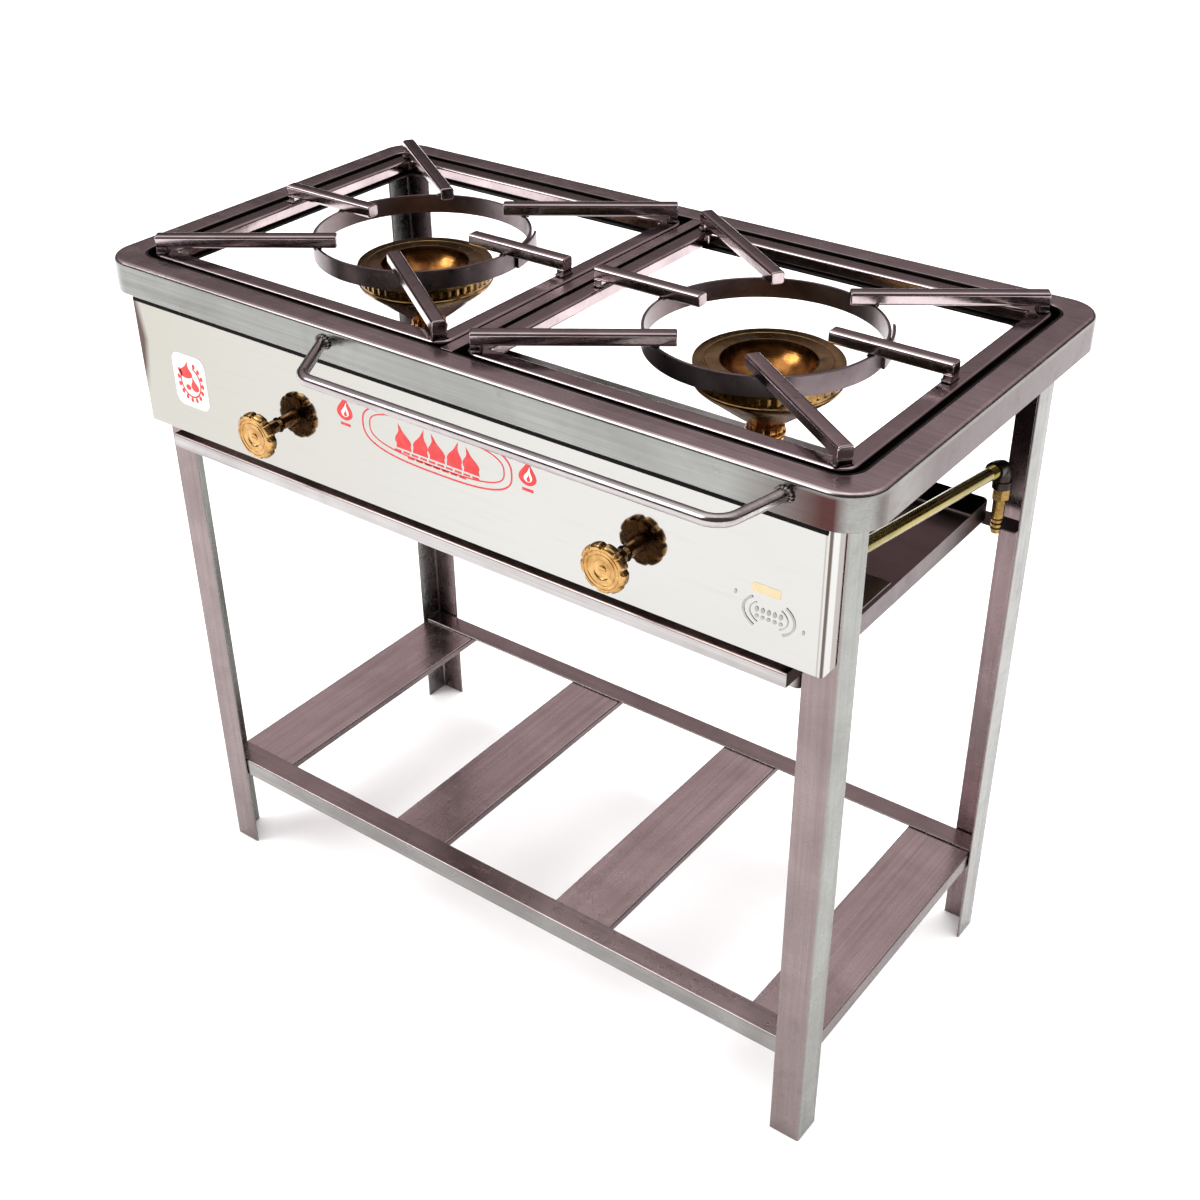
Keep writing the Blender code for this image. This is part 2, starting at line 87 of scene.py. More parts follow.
SIDE_PIPE, FITTING, PIPE_BORE = 0.0064, 0.0092, 0.0045
GRATE_X, GRATE_HALF_X, GRATE_Y = 0.198, 0.188, 0.1868
GRATE_BAR, GRATE_DEEP = 0.018, 0.0127
ARM_TOP, ARM_DEEP, ARM_WIDTH = 0.7522, 0.0124, 0.014
RING_RADIUS, RING_T, RING_LOW = 0.108, 0.003, 0.7205
SIDES = (("left", -1), ("right", 1))
ENDS = (("front", 1), ("rear", -1))

CAMERA_AT = (0.8816, -1.1191, 1.313)
CAMERA_TURNS = ((36.977, "Z"), (56.7273, "X"), (-0.6378, "Z"))
SKY = (
    (0, (0.05, 0.04, 0.04)), (1, (1.9, 1.9, 1.9)), (0.3, (0.06, 0.045, 0.045)),
    (0.42, (0.38, 0.31, 0.32)), (0.55, (0.6, 0.5, 0.515)), (0.72, (0.66, 0.58, 0.59)),
    (0.86, (1.4, 1.4, 1.4)),
)
SCREEN_WAY, SCREEN_COLOUR = (0.553, -0.704, 0.446), (0.125, 0.105, 0.11)
WASHES = {"right": (0.6, -0.3, 0.74), "rear": (0.1, 0.7, 0.7), "top": (-0.3, 0.2, 0.93)}
SUNS = [("key", 1.4, 34, (0.95, 1.0, 0.99), (-0.503, -0.548, 0.667), True)]
SUNS += [(f"wash_{name}", 1.65, 90, (1, 1, 1), way, False) for name, way in WASHES.items()]

# The slot of each look's pieces, unless a piece says otherwise.
SLOTS = {
    "satin_steel": "rim leg leg_rear slat beam rail ledge rest tray weld",
    "mirror_steel": "mirror seam red white cream emboss",
    "burner_bronze": "bronze cap",
    "turned_brass": "brass knob copper",
    "plated_pipe": "plated",
    "black_fitting": "black",
    "cast_tube": "cast",
    "grate_steel": "grate ring",
}


def placed(name, data):
    """A new object in the scene."""
    obj = bpy.data.objects.new(name, data)
    bpy.context.scene.collection.objects.link(obj)
    return obj


def as_mesh(name, bm):
    mesh = bpy.data.meshes.new(name)
    bm.to_mesh(mesh)
    bm.free()
    return mesh


# ---- node trees
class Nodes:
    """Makes and links the nodes of one tree."""

    def __init__(self, tree):
        self.nodes, self.links = tree.nodes, tree.links

    def add(self, kind, sockets, output=0, operation=None):
        node = self.nodes.new("ShaderNode" + kind)
        if operation:
            node.operation = operation
        for key, value in sockets.items():
            if isinstance(value, bpy.types.NodeSocket):
                self.links.new(value, node.inputs[key])
            else:
                node.inputs[key].default_value = value
        return node.outputs[output]

    def math(self, operation, a, b=0.0):
        return self.add("Math", {0: a, 1: b}, operation=operation)

    def times(self, product, *factors):
        for factor in factors:
            product = self.math("MULTIPLY", product, factor)
        return product

    def span(self, value, low, high, out_low=0.0, out_high=1.0):
        sockets = {"Value": value, 1: low, 2: high, 3: out_low, 4: out_high}
        return self.add("MapRange", sockets)

    def mix(self, factor, a, b):
        pair = [(*c, 1) if isinstance(c, tuple) else c for c in (a, b)]
        return self.add("MixRGB", {"Fac": factor, "Color1": pair[0], "Color2": pair[1]})


class Graph(Nodes):
    """One material. base() gives its colour, and each lay() puts another over it."""

    def __init__(self, name, metallic=1.0, rough=0.5, shine=0.5):
        self.material = bpy.data.materials.new(name)
        self.material.use_nodes = True
        super().__init__(self.material.node_tree)
        self.shader = self.nodes["Principled BSDF"]
        ends = {"Metallic": metallic, "Roughness": rough, "Specular IOR Level": shine}
        for socket, value in ends.items():
            self.shader.inputs[socket].default_value = value
        self.coords = self.nodes.new("ShaderNodeTexCoord")
        self.where = self.coords.outputs["Object"]
        self.split = self.add("SeparateXYZ", {0: self.where}).node
        self.colour = None

    def noise(self, scale, detail=3.0, roughness=0.5, distortion=0.0, offset=(0, 0, 0)):
        """Noise of about so many features to the metre: one number, or one for each axis."""
        stretch = (scale,) * 3 if isinstance(scale, int) else scale
        place = self.add("Mapping", {"Vector": self.where, "Scale": stretch, "Location": offset})
        sockets = {"Vector": place, "Scale": 1.0, "Detail": detail, "Roughness": roughness}
        return self.add("TexNoise", {**sockets, "Distortion": distortion})

    def at(self, axis):
        """One coordinate of the surface point, in the piece's own frame."""
        return self.split.outputs[axis]

    def past(self, axis, low, high):
        """0 to 1 as the surface point's coordinate goes from low to high."""
        return self.span(self.at(axis), low, high)

    def facing(self, axis):
        """1 where the surface looks along the axis, either way, and 0 elsewhere."""
        turned = self.add("SeparateXYZ", {0: self.coords.outputs["Normal"]}, axis)
        return self.span(self.math("ABSOLUTE", turned), 0.45, 0.8)

    def radius(self, around):
        """Distance from the piece's own axis."""
        flat = {i: 0.0 if axis == around else self.at(axis) for i, axis in enumerate("XYZ")}
        return self.add("VectorMath", {0: self.add("CombineXYZ", flat)}, 1, operation="LENGTH")

    def base(self, value, low, high, a, b, most=1.0):
        self.colour = self.mix(self.span(value, low, high, 0.0, most), a, b)

    def lay(self, over, *masks):
        self.colour = self.mix(self.times(*masks), self.colour, over)

    def flecks(self, noise, low, high, most, over):
        self.lay(over, self.span(noise, low, high, 0.0, most))

    def bump(self, height, strength, distance, below=None):
        sockets = {"Height": height, "Strength": strength, "Distance": distance}
        if below is not None:
            sockets["Normal"] = below
        return self.add("Bump", sockets)

    def finish(self, rough=None, normal=None):
        ends = {"Base Color": self.colour, "Roughness": rough, "Normal": normal}
        for socket, value in ends.items():
            if value is not None:
                self.links.new(value, self.shader.inputs[socket])
        return self.material


# ---- camera, light and floor
def stage():
    scene = bpy.context.scene
    scene.view_settings.view_transform = "Standard"
    camera = bpy.data.cameras.new("camera")
    camera.sensor_width, camera.lens, camera.clip_end = 36, 49.58, 400
    camera.shift_x, camera.shift_y = 0.0021, 0.0141
    eye = placed("camera", camera)
    place = Matrix.Translation(CAMERA_AT)
    for angle, axis in CAMERA_TURNS:
        place = place @ Matrix.Rotation(radians(angle), 4, axis)
    eye.matrix_world = place
    scene.camera = eye

    world = bpy.data.worlds.new("studio")
    world.use_nodes = True
    scene.world = world
    g = Nodes(world.node_tree)
    way = g.add("TexCoord", {}, "Generated")
    sky = g.add("ValToRGB", {0: g.add("SeparateXYZ", {0: way}, "Z")})
    ramp = sky.node.color_ramp
    for number, (place, colour) in enumerate(SKY):
        stop = ramp.elements[number] if number < 2 else ramp.elements.new(place)
        stop.color = (*colour, 1)
    turned = g.add("VectorMath", {0: way, 1: SCREEN_WAY}, "Value", operation="DOT_PRODUCT")
    light = g.mix(g.span(turned, 0.6, 0.78), sky, SCREEN_COLOUR)
    backdrop = g.mix(g.add("LightPath", {}, "Is Camera Ray"), light, (1, 1, 1))
    g.links.new(backdrop, g.nodes["Background"].inputs["Color"])

    for name, power, angle, colour, way, glossy in SUNS:
        sun = bpy.data.lights.new(name, "SUN")
        sun.energy, sun.angle, sun.color = power, radians(angle), colour
        lamp = placed(name, sun)
        lamp.rotation_mode = "QUATERNION"
        lamp.rotation_quaternion = Vector(way).to_track_quat("Z", "Y")
        lamp.visible_glossy = glossy

    bm = bmesh.new()
    bmesh.ops.create_grid(bm, x_segments=1, y_segments=1, size=100)
    floor = placed("floor", as_mesh("floor", bm))
    floor.data.materials.append(floor_paint())


# ---- materials
def floor_paint():
    g = Graph("floor_paint", 0.0, 0.9, 0.1)
    g.base(g.noise(2, 2), 0.0, 1.0, (0.93, 0.93, 0.93), (0.95, 0.95, 0.95))
    return g.finish()


def brushed(name, light, dark, rough, along="X", other=None, bump=0.1, paint=None):
    """Stainless steel with its polishing lines along one axis, soft mottling and a few marks.

    other is (axis, colour): the painted tone of the faces that look along that axis, which
    stands in for how light falls on them. paint(g) lays painted shade and reflections on top.
    """
    g = Graph(name)
    axis = "XYZ".index(along)
    lines = g.noise([7.0 if i == axis else 520.0 for i in range(3)], 4, 0.6)
    bands = g.noise([2.5 if i == axis else 110.0 for i in range(3)], 2)
    cloud = g.noise(11, 4, 0.6, distortion=0.6)
    marks = g.noise(46, 6, 0.7)
    g.base(cloud, 0.35, 0.7, light, dark)
    # Painted light and shade: faces that look along this axis get their own tone for how they are
    # lit.
    if other:
        axis, painted_facing_colour = other
        painted_facing_tone = g.mix(g.span(cloud, 0.3, 0.75, 0.0, 0.35), painted_facing_colour, (0.05, 0.035, 0.035))
        g.lay(painted_facing_tone, g.facing(axis))
    g.flecks(lines, 0.35, 0.75, 0.25, (0.05, 0.04, 0.04))
    g.flecks(bands, 0.5, 0.8, 0.3, (0.06, 0.045, 0.045))
    g.flecks(marks, 0.62, 0.8, 0.35, (0.05, 0.035, 0.035))
    if paint:
        paint(g)
    worn = g.span(marks, 0.45, 0.8, rough - 0.05, rough + 0.1)
    relief = g.bump(cloud, 0.05, 0.003, g.bump(lines, bump, 0.0002))
    return g.finish(g.math("ADD", g.times(bands, 0.1), worn), relief)


def rim_painted_reflections(g):
    """Painted reflections on the rim's band: dark brown at its front right corner and its left end,
    and mauve along its right side.
    """
    below = g.past("Z", TOP - 0.0015, TOP - 0.006)
    outer = g.past("X", 0.405, 0.412)
    # Painted reflection: mauve along the rear part of the right side.
    g.lay((0.082, 0.056, 0.058), outer, g.past("Y", -0.19, -0.11), below)
    # Painted reflection: dark red-brown on the front of the band near its right corner.
    front = g.past("Y", -RIM_Y + 0.014, -RIM_Y + 0.005)
    right = g.times(g.past("X", 0.3, 0.384), g.past("X", 0.403, 0.393))
    g.lay((0.05, 0.013, 0.012), right, front, below, 0.94)
    # Painted shade: darker at the band's left end.
    g.lay((0.04, 0.03, 0.03), g.past("X", -RIM_X + 0.01, -RIM_X + 0.001), below, 0.8)
    # Painted reflection: dark brown along the right side near the front corner.
    side = g.times(g.past("Y", -0.204, -0.194), g.past("Y", -0.16, -0.188))
    g.lay((0.06, 0.035, 0.032), side, outer, below, 0.6)


def rear_shade(g):
    """Painted shade on the rear legs' inner faces, towards the top under the stove."""
    inner = g.span(g.facing("X"), 1.0, 0.0)
    g.lay((0.012, 0.009, 0.009), g.past("Z", 0.46, 0.62), inner, 0.62)


def tray_painted_shade(g):
    """Painted shade on the tray: its upward faces darken towards its ends under the rim, its side
    and rear walls are darker, the grip's top is shaded under the panel and the grip's right end is
    dark.
    """
    cloud = g.noise(14, 3, offset=(4, 4, 4))
    blur = g.times(g.math("SUBTRACT", cloud, 0.5), 0.05)
    reach = g.math("ADD", g.math("ABSOLUTE", g.at("X")), blur)
    flat, upright = g.facing("Z"), g.facing("Y")
    # Painted shade on the floor towards its ends, under the rim.
    g.lay((0.13, 0.088, 0.088), g.span(reach, 0.2, 0.255), flat)
    # Painted shade: a nearly black rear wall towards the ends.
    g.lay((0.01, 0.008, 0.008), g.span(reach, 0.17, 0.21), upright, g.past("Y", 0.1, 0.12))
    # Painted shade on the side walls.
    g.lay((0.125, 0.098, 0.1), g.facing("X"))
    # Painted shade on the grip's top, under the panel.
    g.lay((0.42, 0.3, 0.27), g.past("Y", -0.183, -0.186), flat)
    # Painted shade at the grip's right end.
    low = g.past("Z", GRIP_LOW + 0.0002, GRIP_LOW - 0.0004)
    edge = g.math("MAXIMUM", low, g.span(upright, 1.0, 0.0))
    g.lay((0.045, 0.03, 0.026), g.past("Y", -0.15, -0.165), g.past("X", 0.349, 0.356), edge)


def mirror():
    """Polished sheet: slow waves from rolling and faint wiping marks, with painted reflections:
    darker towards the left, dark brown at its left end, dark lines at its right bend.
    """
    g = Graph("mirror_steel")
    wave = g.noise((5, 5, 9), 1)
    cloud = g.noise((3.1, 3.1, 7), 3)
    wipes = g.noise((9, 9, 260), 3, 0.6)
    haze = g.noise(24, 5, 0.65)
    # Painted reflection: the sheet darkens towards its left end.
    g.base(g.at("X"), -0.36, 0.1, (0.345, 0.338, 0.302), (0.415, 0.412, 0.396))
    g.flecks(cloud, 0.4, 0.7, 0.35, (0.36, 0.352, 0.33))
    g.flecks(wipes, 0.55, 0.8, 0.14, (0.27, 0.25, 0.23))
    # Painted reflection: dark brown at the left end, on the upper part, with a curved edge.
    bulge = g.times(g.math("ABSOLUTE", g.math("SUBTRACT", g.at("Z"), 0.655)), 0.16)
    left = g.span(g.math("ADD", g.at("X"), bulge), -0.3735, -0.3815)
    g.lay((0.06, 0.03, 0.024), left, g.past("Z", 0.592, 0.625), 0.92)
    # Painted shade: dark lines at the right bend and a darker return next to the leg.
    g.lay((0.06, 0.038, 0.03), g.past("X", 0.3878, 0.3886), g.past("Y", -0.2104, -0.2116), 0.9)
    g.lay((0.14, 0.09, 0.06), g.past("X", 0.3845, 0.3852), g.past("X", 0.3868, 0.3858), 0.4)
    g.lay((0.1, 0.065, 0.05), g.past("X", 0.39, 0.3903), g.past("Y", -0.2015, -0.2), 0.6)
    worn = g.math("ADD", g.span(haze, 0.45, 0.75, 0.04, 0.1), g.span(wipes, 0.5, 0.8, 0.0, 0.04))
    return g.finish(worn, g.bump(wipes, 0.03, 0.0002, g.bump(wave, 0.12, 0.004)))


def grate_steel(name, light, dark, rough):
    """Ground bar with heat tint, dark patches of use and painted shade on its upward faces."""
    g = Graph(name)
    cloud = g.noise(16, 4, 0.6, distortion=0.8)
    heat = g.noise(7, 3, distortion=1.2, offset=(3, 1, 2))
    grind = g.noise(240, 5, 0.65)
    marks = g.noise(70, 6, 0.7)
    g.base(cloud, 0.35, 0.68, light, dark)
    # Painted shade: upward faces darker than the sides.
    g.lay((0.2, 0.15, 0.155), g.facing("Z"), 0.45)
    g.flecks(heat, 0.55, 0.72, 0.3, (0.26, 0.17, 0.15))
    g.flecks(marks, 0.6, 0.76, 0.6, (0.06, 0.045, 0.045))
    relief = g.bump(marks, 0.1, 0.0006, g.bump(grind, 0.1, 0.0003))
    return g.finish(g.span(grind, 0.3, 0.75, rough, rough + 0.12), relief)


def bronze(name, light, dark, bowl=None, neck=None):
    """Turned gunmetal: brown gold with olive, orange and violet heat colours, dark in places. neck
    is the colour of a painted orange highlight on the neck.
    """
    g = Graph(name)
    radius = g.radius("Z")
    turning = g.math("SINE", g.times(radius, 5200.0))
    cloud = g.noise(30, 4, 0.6, distortion=1.0)
    heat = g.noise(38, 3, distortion=1.5, offset=(1, 4, 2))
    pits = g.noise(420, 4, 0.7)
    violet = g.noise(22, 2, offset=(7, 2, 5))
    soot = g.noise(60, 6, 0.7)
    g.base(cloud, 0.38, 0.62, light, dark)
    if bowl:
        inside = g.mix(g.span(cloud, 0.4, 0.64), bowl, (0.1, 0.035, 0.01))
        g.lay(inside, g.span(radius, 0.044, 0.0425))
        # Painted shade down the wall of the hole.
        lip = g.times(g.span(radius, 0.0405, 0.042), g.span(radius, 0.045, 0.0435))
        g.lay((0.03, 0.015, 0.006), lip, 0.7)
    # Painted highlight: bright orange on the neck.
    if neck:
        g.lay(neck, g.past("Z", 0.672, 0.652))
    g.flecks(heat, 0.58, 0.72, 0.55, (0.14, 0.13, 0.035))
    g.lay((0.42, 0.15, 0.04), g.span(heat, 0.26, 0.4, 0.5, 0.0))
    g.flecks(violet, 0.62, 0.75, 0.35, (0.12, 0.07, 0.09))
    g.flecks(soot, 0.54, 0.7, 0.75, (0.025, 0.014, 0.006))
    worn = g.math("ADD", g.span(cloud, 0.3, 0.7, 0.14, 0.27), g.span(soot, 0.5, 0.8, 0.0, 0.2))
    return g.finish(worn, g.bump(pits, 0.1, 0.0003, g.bump(turning, 0.05, 0.0002)))


def brass(name, light, dark, rough=0.2, back=None):
    """Turned brass with fine rings round the spindle axis, fingerprints and darker hollows.

    back is (height, colour): along Y, past that height, the brass is painted dark to that colour,
    painted shade on the knob's back that faces the panel.
    """
    g = Graph(name)
    turning = g.math("SINE", g.times(g.radius("Y"), 7500.0))
    cloud = g.noise(60, 4, 0.6, distortion=0.8)
    prints = g.noise(150, 5, 0.65)
    g.base(cloud, 0.35, 0.68, light, dark)
    g.flecks(prints, 0.54, 0.74, 0.7, (0.12, 0.05, 0.015))
    # Painted shade on the knob's back, lighter in noisy spots.
    if back:
        height, back_shade = back
        worn = g.mix(g.span(prints, 0.3, 0.6, 1.0, 0.0), back_shade, (0.22, 0.1, 0.03))
        g.lay(worn, g.past("Y", height - 0.001, height + 0.001))
    relief = g.bump(prints, 0.1, 0.0004, g.bump(turning, 0.06, 0.0002))
    return g.finish(g.span(prints, 0.35, 0.75, rough, rough + 0.18), relief)


def plated():
    """Yellow passivated pipe: gold with greenish patches and draw lines."""
    g = Graph("plated_pipe")
    cloud = g.noise((30, 12, 30), 4, 0.6)
    lines = g.noise((500, 20, 500), 3)
    g.base(cloud, 0.35, 0.65, (0.27, 0.215, 0.06), (0.14, 0.118, 0.026))
    g.flecks(lines, 0.5, 0.8, 0.5, (0.1, 0.07, 0.015))
    return g.finish(g.span(cloud, 0.3, 0.7, 0.16, 0.28), g.bump(lines, 0.08, 0.0002))


def black_fitting():
    g = Graph("black_fitting")
    cloud = g.noise(90, 4, 0.6)
    worn = g.noise((40, 40, 160), 5, 0.65, offset=(2, 2, 2))
    g.base(cloud, 0.35, 0.7, (0.035, 0.026, 0.024), (0.014, 0.011, 0.011))
    g.flecks(worn, 0.6, 0.72, 0.8, (0.22, 0.11, 0.04))
    return g.finish(g.span(cloud, 0.3, 0.7, 0.25, 0.42), g.bump(cloud, 0.12, 0.0004))


def cast_iron():
    g = Graph("cast_tube")
    sand = g.noise(420, 5, 0.7)
    cloud = g.noise(40, 4)
    g.base(cloud, 0.35, 0.7, (0.12, 0.075, 0.045), (0.05, 0.035, 0.028))
    g.flecks(sand, 0.6, 0.75, 0.5, (0.3, 0.17, 0.09))
    return g.finish(g.span(sand, 0.3, 0.7, 0.45, 0.65), g.bump(sand, 0.35, 0.0006))


def weld_metal():
    g = Graph("weld_metal")
    cloud = g.noise(180, 4, 0.6)
    heat = g.noise(70, 3, offset=(5, 1, 3))
    g.base(cloud, 0.35, 0.7, (0.26, 0.23, 0.225), (0.1, 0.075, 0.07))
    g.flecks(heat, 0.5, 0.64, 0.8, (0.045, 0.028, 0.025))
    return g.finish(g.span(cloud, 0.3, 0.7, 0.22, 0.42), g.bump(cloud, 0.2, 0.0005))


def print_ink(name, colour, worn, rough=0.4, shine=0.4):
    """Screen print or paper: even ink, slightly thin in places."""
    g = Graph(name, 0.0, rough, shine)
    thin = g.noise(130, 5, 0.7)
    grain = g.noise(900, 3)
    g.base(thin, 0.5, 0.78, colour, worn, 0.5)
    return g.finish(g.span(grain, 0.3, 0.7, rough - 0.08, rough + 0.08), g.bump(grain, 0.1, 0.0001))


# Each other=(axis, colour) below is a painted tone for the faces along that axis: painted sky
# reflection on upward faces, painted floor reflection and shade on side faces, and painted light on
# the tray's floor.
MATERIALS = dict(
    rim=brushed("rim_steel", (0.255, 0.262, 0.248), (0.205, 0.208, 0.198), 0.2,
        other=("Z", (0.56, 0.465, 0.48)), bump=0.07, paint=rim_painted_reflections),
    leg=brushed("leg_steel", (0.25, 0.2, 0.196), (0.19, 0.146, 0.146), 0.26, "Z",
        other=("X", (0.245, 0.255, 0.235))),
    leg_rear=brushed("rear_leg_steel", (0.265, 0.195, 0.2), (0.2, 0.145, 0.15), 0.26, "Z",
        other=("X", (0.27, 0.275, 0.262)), paint=rear_shade),
    slat=brushed("slat_steel", (0.56, 0.45, 0.455), (0.44, 0.345, 0.35), 0.24, "Y",
        other=("X", (0.16, 0.125, 0.125))),
    beam=brushed("beam_steel", (0.285, 0.28, 0.272), (0.225, 0.21, 0.205), 0.22,
        other=("Z", (0.36, 0.285, 0.285))),
    rail=brushed("rail_steel", (0.44, 0.41, 0.41), (0.32, 0.28, 0.285), 0.17),
    # The ledge is painted near black: painted shade in the gap round the grates.
    ledge=brushed("ledge_painted_shade", (0.03, 0.024, 0.024), (0.014, 0.011, 0.011), 0.4),
    # Steel painted dark as shade inside the stove, for the rests and the burner rail.
    rest=brushed("rest_painted_shade", (0.06, 0.045, 0.045), (0.03, 0.022, 0.022), 0.35),
    tray=brushed("tray_steel", (0.44, 0.42, 0.42), (0.36, 0.335, 0.335), 0.3,
        other=("Z", (0.82, 0.8, 0.79)), bump=0.05, paint=tray_painted_shade),
    mirror=mirror(),
    grate=grate_steel("grate_steel", (0.5, 0.415, 0.425), (0.36, 0.29, 0.3), 0.11),
    ring=grate_steel("ring_steel", (0.175, 0.14, 0.148), (0.11, 0.085, 0.09), 0.26),
    # Its neck colour is a painted orange highlight.
    bronze=bronze("burner_bronze", (0.34, 0.205, 0.075), (0.15, 0.08, 0.028),
        neck=(0.56, 0.25, 0.07)),
    cap=bronze("burner_cap_bronze", (0.36, 0.225, 0.085), (0.16, 0.098, 0.04),
        bowl=(0.36, 0.155, 0.042)),
    brass=brass("turned_brass", (0.46, 0.3, 0.11), (0.26, 0.14, 0.045)),
    # The knob's back is painted dark as shade.
    knob=brass("knob_brass", (0.5, 0.305, 0.12), (0.31, 0.16, 0.048), 0.18,
        back=(KNOB_FACE + 0.0058, (0.085, 0.04, 0.018))),
    copper=brass("inlet_brass", (0.3, 0.195, 0.062), (0.15, 0.085, 0.024)),
    plated=plated(),
    black=black_fitting(),
    cast=cast_iron(),
    weld=weld_metal(),
    red=print_ink("red_print", (0.6, 0.018, 0.02), (0.7, 0.12, 0.1)),
    white=print_ink("white_label", (0.88, 0.87, 0.84), (0.8, 0.78, 0.73), 0.45),
    cream=print_ink("cream_label", (0.62, 0.5, 0.3), (0.54, 0.4, 0.22), 0.45),
    # Black for the painted shadow strip under the band.
    seam=print_ink("gap_shadow_black", (0.006, 0.005, 0.005), (0.014, 0.011, 0.01), 0.7, 0.05),
    emboss=brushed("emboss_steel", (0.33, 0.325, 0.31), (0.25, 0.24, 0.23), 0.14),
)


# ---- mesh tools
def skin(bm, rings, closed=False):
    """Quads between rings of points: capped at both ends, or joined end to start."""
    rows = [[bm.verts.new(point) for point in ring] for ring in rings]
    pairs = list(zip(rows, rows[1:]))
    if closed:
        pairs.append((rows[-1], rows[0]))
    else:
        bm.faces.new(rows[0][::-1])
        bm.faces.new(rows[-1])
    for low, high in pairs:
        for i in range(len(low)):
            j = (i + 1) % len(low)
            bm.faces.new((low[i], low[j], high[j], high[i]))


def arc(corner, a, b, radius, reach, steps):
    """Points that round a corner off; a and b point away from it along its two edges."""
    centre = corner + (a + b).normalized() * (radius / sin(a.angle(b) / 2))
    start, end = corner + a * reach - centre, corner + b * reach - centre
    sweep = start.angle(end)
    for k in range(steps + 1):
        t = sweep * k / steps
        yield centre + (start * sin(sweep - t) + end * sin(t)) / sin(sweep)


def softened(outline, radius, steps=4):
    """A closed 2-D outline with every corner rounded, less where an edge is short."""
    points = [Vector(p) for p in outline]
    made = []
    for i, corner in enumerate(points):
        before, after = points[i - 1] - corner, points[(i + 1) % len(points)] - corner
        a, b = before.normalized(), after.normalized()
        if a.angle(b) > radians(170):
            made.append(tuple(corner))
            continue
        slope = tan(a.angle(b) / 2)
        reach = min(radius / slope, 0.45 * min(before.length, after.length))
        made += [tuple(p) for p in arc(corner, a, b, reach * slope, reach, steps)]
    return made


def rounded(points, radius, steps=10):
    """The points of a path with each inner corner turned into an arc."""
    points = [Vector(p) for p in points]
    path = [points[0]]
    for before, corner, after in zip(points, points[1:], points[2:]):
        a, b = (before - corner).normalized(), (after - corner).normalized()
        path += arc(corner, a, b, radius, radius / tan(a.angle(b) / 2), steps)
    return path + [points[-1]]


def raised(profile, base):
    """(radius, height) pairs with their heights counted from base."""
    return [(r, base + h) for r, h in profile]


def prism(outline, axis, start, end, bm=None):
    """An outline drawn out along X (outline in y, z), Y (x, z) or Z (x, y)."""
    bm = bm or bmesh.new()
    n = "XYZ".index(axis)
    skin(bm, [[(*point[:n], t, *point[n:]) for point in outline] for t in (start, end)])
    return bm


def eased(bm, edges, radius, clamp=False):
    bmesh.ops.bevel(
        bm, geom=edges, offset=radius, segments=3, affect="EDGES", profile=0.5, clamp_overlap=clamp
    )


def block(bm, x, y, z, radius):
    """A box with its edges rounded."""
    part = bmesh.new()
    skin(part, [[(x[a], y[b], level) for a, b in ((0, 0), (1, 0), (1, 1), (0, 1))] for level in z])
    eased(part, part.edges[:], radius)
    mesh = as_mesh("part", part)
    bm.from_mesh(mesh)
    bpy.data.meshes.remove(mesh)


def lathe(outline, centre=(0, 0, 0), axis="Z", segments=96, shape=None):
    """A closed outline of (radius, height) pairs turned about a Z or Y axis through centre.

    shape(turn, radius, height) gives another radius, for flutes, flats and slots.
    """
    bm = bmesh.new()
    rings = []
    for k in range(segments):
        turn = tau * k / segments
        c, s = cos(turn), sin(turn)
        ring = [(shape(turn, r, h) if shape else r, h) for r, h in outline]
        rings.append([(r * c, r * s, h) if axis == "Z" else (r * s, h, r * c) for r, h in ring])
    skin(bm, rings, closed=True)
    bmesh.ops.remove_doubles(bm, verts=bm.verts, dist=1e-6)
    bmesh.ops.translate(bm, verts=bm.verts, vec=Vector(centre))
    return bm


def hexagon(turn, r):
    """How far out a hexagon stands, with its corners at radius r."""
    return r * (cos(pi / 6) / cos((turn % (pi / 3)) - pi / 6))


def pipe(path, outer, inner=0, segments=28, bm=None):
    """A round rod or pipe along a path. outer is one radius, or one for each point."""
    bm = bm or bmesh.new()
    path = [Vector(p) for p in path]
    radii = outer if isinstance(outer, list) else [outer] * len(path)
    rings, side = [], None
    for i, point in enumerate(path):
        along = Vector()
        step = 1
        while along.length < 1e-5:
            along = path[min(i + step, len(path) - 1)] - path[max(i - step, 0)]
            step += 1
        along = along.normalized()
        if side is None:
            side = along.orthogonal().normalized()
        side = (side - along * side.dot(along)).normalized()
        other = along.cross(side)
        turns = [tau * k / segments for k in range(segments)]
        rings.append([(point, side * cos(t) + other * sin(t)) for t in turns])
    tour = [[p + n * r for p, n in ring] for ring, r in zip(rings, radii)]
    if inner:
        tour += [[p + n * inner for p, n in ring] for ring in rings[::-1]]
    skin(bm, tour, closed=bool(inner))
    return bm


def round_loop(half_x, half_y, radius, inset, steps=14, corner=None):
    """Points round a rectangle with rounded corners, moved in by inset, or with corners given."""
    left = corner or max(radius - inset, 0.0005)
    x, y = half_x - inset - left, half_y - inset - left
    points = []
    for sx, sy, start in ((1, 1, 0), (-1, 1, 90), (-1, -1, 180), (1, -1, 270)):
        for k in range(steps + 1):
            turn = radians(start + 90 * k / steps)
            points.append((sx * x + left * cos(turn), sy * y + left * sin(turn)))
    return points


def band(half_x, half_y, radius, section, centre_x=0, steps=14):
    """A section carried round a rounded rectangle: (inset, height) or (inset, height, corner)."""
    section = [(*point, None)[:3] for point in section]
    loops = [round_loop(half_x, half_y, radius, inset, steps, turn) for inset, _, turn in section]
    heights = [height for _, height, _ in section]
    bm = bmesh.new()
    skin(bm, [[(u + centre_x, v, h) for (u, v), h in zip(row, heights)] for row in zip(*loops)],
         closed=True)
    return bm


